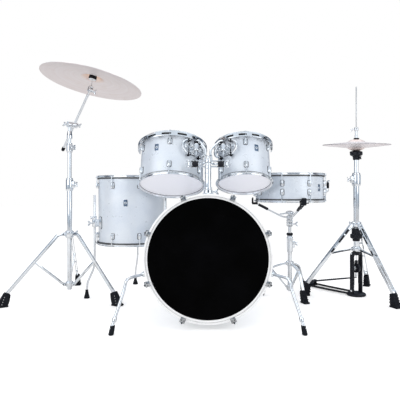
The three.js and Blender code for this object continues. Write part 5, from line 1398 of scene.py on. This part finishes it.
for s in (-1, 1):
    for z in (FRAME_TOP - 9, 30):
        screws.rod((0, s * 43.4, z), (0, s * 46.6, z), 5.4, sides=24, edge=1)
        screws.rod((0, s * 46, z), (0, s * 47.2, z), 2.4, sides=6, edge=0.2)
    screws.rod((-PEDAL_LONG, s * 45, heel.z), (-PEDAL_LONG, s * 48, heel.z), 5, sides=6, edge=0.5)
hihat.piece("frame_screws", screws, "chrome", "frame", PEDAL)

tube = Shape().tube([(3.8, FRAME_TOP + GAP), (22, FRAME_TOP + GAP, 1), (24, 245, 1), (24, 258, 2),
    (16, 268, 2), (3.8, 268)], 56)
tube.post(262, 630, 15, sides=48)
clamp(tube, 596, 667, 23, 11.4, 195)
hihat.piece("lower_tube_body", tube, "chrome", "lower_tube")
hihat.piece("lower_bushing", bushing(665, 668.5, 17, 11.3), "rubber", "lower_tube")
knob = Shape().tube([(15, 296), (19, 296, 1), (20, 308, 1), (28, 311, 2), (31, 316, 1.5),
    (31, 331, 1.5), (28, 335, 1.5), (24.4, 336, 0.6), (24.4, 365, 1.5), (15, 367)], 64)
knob.copy(Shape().post(314, 333, 1.7, x=30.4, sides=8, edge=0.7), *[around(a) for a in ring(24)])
hihat.piece("spring_knob", knob, "black", "lower_tube")

tripod = Shape().tube([(15.3, 370), (21, 370, 1), (27, 376, 2), (27, 396, 2), (21, 402, 2),
    (15.3, 402)], 56)
tripod.wing(polar(120, 26, 386), polar(120, 1), UP, length=16)
tripod.tube([(24.3, 244), (28, 244, 1), (28, 260, 1), (24.3, 260)], 56)
hat_boots, hat_painted_shade = Shape(), Shape()
for deg in HAT_FEET:
    near, far = (24, HAT_COLLAR_Z), (HAT_REACH - 8, 66)
    tripod.copy(twin_strips(deg, [near, far], 17, 4, 16, (0.05, 0.35, 0.60, 0.92)), STILL)
    hat_painted_shade.copy(painted_shade_strips(deg, [near, far], 10.5, 12, ((0.08, 0.16), (0.18, 0.30), (0.40, 0.47))),
        STILL)
    t = (146 - near[0]) / (far[0] - near[0])
    knee_z = near[1] + (far[1] - near[1]) * t
    side = polar(deg + 90, 1)
    inner, outer = polar(deg, 26, HAT_HUB_Z), polar(deg, 146, knee_z)
    tripod.bar(inner, outer, 8, 11, side, 1.6)
    # the black bar along the strut is painted shade as well
    hat_painted_shade.bar(inner.lerp(outer, 0.06), inner.lerp(outer, 0.94), 8.5, 5.5, side, 0.3)
    tripod.rod(outer - side * 13.4, outer + side * 13.4, 4.2, sides=20, edge=1)
    rivet(tripod, deg, 30, HAT_HUB_Z, 5, 3.6)
    hat_boots.copy(foot(deg, HAT_REACH, long=52, wide=36, high=74, lean=14), STILL)
hihat.piece("tripod_legs", tripod, "chrome", "tripod")
hihat.piece("feet", hat_boots, "rubber", "tripod")
# the legs' and struts' black strips: painted shade and dark reflection
hihat.piece("leg_painted_shade", hat_painted_shade, "black", "tripod")

HAT_R, HAT_BELL, RIM = 178, 28, 1.9
seat_top = -RIM - HAT_BELL - GAP
seat_z = hat_at.z + seat_top
upper = Shape().post(470, 745, 11, sides=40)
hihat.piece("upper_tube_body", upper, "chrome", "upper_tube")
cup = Shape().tube([(3.8, 738), (17, 738, 2), (19, 757, 3), (33, 765, 2), (33, seat_z - 9, 1),
    (3.8, seat_z - 9)], 72)
cup.wing(polar(-60, 17, 748), polar(-60, 1), UP, reach=16, stem=2.6, length=9)
cup.bm.transform(hihat.place)
cup.tube([(3.8, -16), (32.8, -16, 1), (33.8, -6, 3), (22, -2.4, 2), (3.8, -2.4)], 72, MEETING,
    up=seat_top)
for down in (14, 11, 8):
    cup.tube([(32.6, 0), (33.6, 0.6), (32.6, 1.2)], 72, MEETING, up=seat_top - down)
hihat.piece("seat_cup", cup, "black", "upper_tube", STILL)
seat = Shape().tube([(4, -2.6), (20, -2.6, 1), (20, 0, 1), (4, 0)], up=seat_top)
hihat.piece("seat_felt", seat, "felt", "upper_tube", MEETING)

for side, hole, at in (("bottom", 9, moved(0, 0, -RIM) @ TURN_OVER),
        ("top", 7.5, moved(0, 0, RIM))):
    plate = cymbal(HAT_R, bell=42, bell_high=14, bow=14, hole=hole)
    # the hats take the lightened bronze: painted light
    hihat.piece(f"{side}_plate", plate, "bronze_lightened_for_shade", f"{side}_cymbal", MEETING @ at, rings=True)

bell_top = RIM + HAT_BELL
hat_top = hat_at.z + bell_top
pull = Shape().post(168, 915, 3, sides=20)
end = Shape().post(915, ROD_TOP, 3, sides=20, edge=1, steps=2)
hihat.piece("rod_end", end, "wire", "pull_rod")
pull.tube([(3, hat_top + 5), (8, hat_top + 5, 1), (8, 873, 1), (6.6, 875, 1), (6.6, 897, 1),
    (3, 900)], 36)
pull.tube([(3, 896), (10, 896, 1), (11, 901, 1), (10, 916, 2), (3, 917)], 36)
pull.wing(polar(150, 9, 906), polar(150, 1), UP, stem=3.5, length=16)
pull.bm.transform(hihat.place)
pull.tube([(3.2, -17), (12, -17, 1), (12, -14, 1), (3.2, -13)], 32, MEETING, up=bell_top)
hihat.piece("rod", pull, "chrome", "pull_rod", STILL)
pads = Shape().tube([(3.4, -13), (12, -13, 2), (11.6, -5, 2), (6.4, -1.8), (3.4, -1.8)], 32,
    up=bell_top)
pads.tube([(3.4, 0.4), (13.4, 0.4, 2), (15.6, 4, 2), (14, 8, 2), (3.4, 8.6)], 40, up=bell_top)
hihat.piece("clutch_felts", pads, "felt", "pull_rod", MEETING)
CAM_Z = 148
cam = Shape().rod((0, -8, CAM_Z), (0, 8, CAM_Z), 24, sides=56, edge=2.4, steps=3)
cam.tube([(4.5, CAM_Z + 20), (8, CAM_Z + 20, 1), (8, 190, 2), (3, 192)], 28)
hihat.piece("cam", cam, "black", "pull_rod", PEDAL)
hub_screw = Shape()
for s in (-1, 1):
    hub_screw.rod((0, s * 7.6, CAM_Z), (0, s * 10.4, CAM_Z), 11, sides=36, edge=1.2, steps=2)
    hub_screw.rod((0, s * 10, CAM_Z), (0, s * 11.6, CAM_Z), 5, sides=6, edge=0.4)
link_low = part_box("hihat_pull_rod")[0].z / MM
hub_screw.block((0, 0, (link_low + CAM_Z - 18) / 2), (5, 13, CAM_Z - 18 - link_low), 1)
for k in range(3):
    hub_screw.rod((0, -7.4, link_low + 5 + 9 * k), (0, 7.4, link_low + 5 + 9 * k), 2.6, sides=14,
        edge=0.4)
hihat.piece("cam_link", hub_screw, "chrome", "pull_rod", PEDAL)

# footboard: its own frame lies along the plate from the heel pivot
rise = math.atan2(97 - heel.z, PEDAL_LONG)
along = Vector((math.cos(rise), 0, math.sin(rise)))
BOARD = PEDAL @ basis((-PEDAL_LONG, 0, heel.z), (-math.sin(rise), 0, math.cos(rise)), along)
WIDE = 39
plate_line = [(12, -WIDE, 5), (PEDAL_LONG * 0.62, -WIDE + 2, 30), (PEDAL_LONG - 10, -22, 12),
    (PEDAL_LONG + 8, -10, 8), (PEDAL_LONG + 8, 10, 8), (PEDAL_LONG - 10, 22, 12),
    (PEDAL_LONG * 0.62, WIDE - 2, 30), (12, WIDE, 5)]
board = Shape().plate(plate_line, -1.8, 1.8, STILL, 1.2)
board.plate([(x * 0.985 + 2, y * 0.9, f) for x, y, f in plate_line], 1, 2.6, STILL, 0.6)
for k in range(17):
    x = 34 + k * 14.5
    half = WIDE * 0.8 if x < PEDAL_LONG * 0.62 else WIDE * 0.8 - (x - PEDAL_LONG * 0.62) * 0.18
    board.block((x, 0, 2.9), (4.6, 2 * half, 1.9), 0.7)
board.rod((0, -38, 0), (0, 38, 0), 7.6, sides=28, edge=1)
board.block((10, 0, 0), (22, 64, 5), 1.6)
hihat.piece("footboard_plate", board, "black", "footboard", BOARD)


# ---- stage and light ----
FLOOR_HALF, FLOOR_DROP = 14, 0.0005  # metres


def stage_floor():
    bm = bmesh.new()
    bmesh.ops.create_grid(bm, x_segments=1, y_segments=1, size=FLOOR_HALF)
    mesh = bpy.data.meshes.new("studio_floor")
    bm.to_mesh(mesh)
    bm.free()
    floor = bpy.data.objects.new("studio_floor", mesh)
    floor.location.z = -FLOOR_DROP
    bpy.context.scene.collection.objects.link(floor)
    f = Finish("studio_floor", (0.85, 0.85, 0.85), 0.9, specular_ior_level=0.0)
    path = f.tree.nodes.new("ShaderNodeLightPath")
    direct, mirrored = (Link(f, path.outputs[kind]) for kind in ("Is Camera Ray", "Is Glossy Ray"))
    seen = direct * 0.42 + mirrored * 0.06
    glow = f.node("ShaderNodeEmission", None, {"Color": (1, 1, 1, 1), "Strength": seen})
    both = f.node("ShaderNodeAddShader", None, {0: Link(f, f.shader.outputs[0]), 1: glow})
    f.join(both, f.tree.nodes["Material Output"].inputs["Surface"])
    mesh.materials.append(f.material)


def studio_world():
    world = bpy.data.worlds.new("studio")
    bpy.context.scene.world = world
    world.use_nodes = True
    tree = world.node_tree
    shader = tree.nodes["Background"]
    f = Nodes(tree, "Generated")
    parts = tree.nodes.new("ShaderNodeSeparateXYZ")
    f.join(f.place, parts.inputs[0])
    x, y, z = (Link(f, parts.outputs[i]) for i in range(3))
    turn = f.node("ShaderNodeMath", {"operation": "ARCTAN2"}, {0: x, 1: y})
    side = f.node("ShaderNodeMath", {"operation": "ABSOLUTE"}, {0: turn * (1 / math.pi)})
    walls = [(0.0, 0.30), (0.10, 0.10), (0.20, 0.02), (0.28, 0.72), (0.40, 0.95), (0.47, 0.40),
        (0.52, 0.02), (0.60, 0.08), (0.65, 0.9), (0.80, 1.0), (0.86, 0.45), (1.0, 0.62)]
    wall = f.node("ShaderNodeValToRGB", {"stops": walls}, {0: side})
    room = f.tint(wall, (0.02, 0.035, 0.075), (0.74, 0.84, 0.95))
    # a dark line runs round the room over the walls, below its pale ceiling
    stops = [(0.0, 0.0), (0.22, 0.0), (0.30, 0.85), (0.42, 0.85), (0.50, 0.0), (1.0, 0.0)]
    line = f.node("ShaderNodeValToRGB", {"stops": stops}, {0: z})
    room = f.tint(line, room, (0.02, 0.035, 0.075))
    room = f.tint(f.ramp(z, 0.42, 0.6), room, (0.80, 0.88, 0.97))
    path = tree.nodes.new("ShaderNodeLightPath")
    sharp = Link(f, path.outputs["Is Glossy Ray"])
    soft = f.tint(Link(f, path.outputs["Is Camera Ray"]), (0.72, 0.73, 0.75), grey(1.0))
    f.join(f.tint(sharp, soft, room), shader.inputs["Color"])
    shader.inputs["Strength"].default_value = 1.0


def softbox(name, at, towards, size, power):
    """A soft lamp at a place, turned towards another."""
    data = bpy.data.lights.new(name, "AREA")
    data.shape = "RECTANGLE"
    data.size, data.size_y = size
    data.energy = power
    lamp = bpy.data.objects.new(name, data)
    lamp.location = at
    lamp.rotation_euler = (Vector(towards) - Vector(at)).to_track_quat("-Z", "Y").to_euler()
    bpy.context.scene.collection.objects.link(lamp)


stage_floor()
studio_world()
softbox("key_softbox", (-2.4, -3.0, 1.9), (0, 0, 0.5), (3.8, 2.6), 46)
softbox("fill_softbox", (2.8, -2.2, 1.6), (0, 0, 0.5), (3.0, 2.2), 26)
softbox("top_softbox", (0.2, 0.6, 3.4), (0, 0, 0.3), (3.6, 2.8), 26)
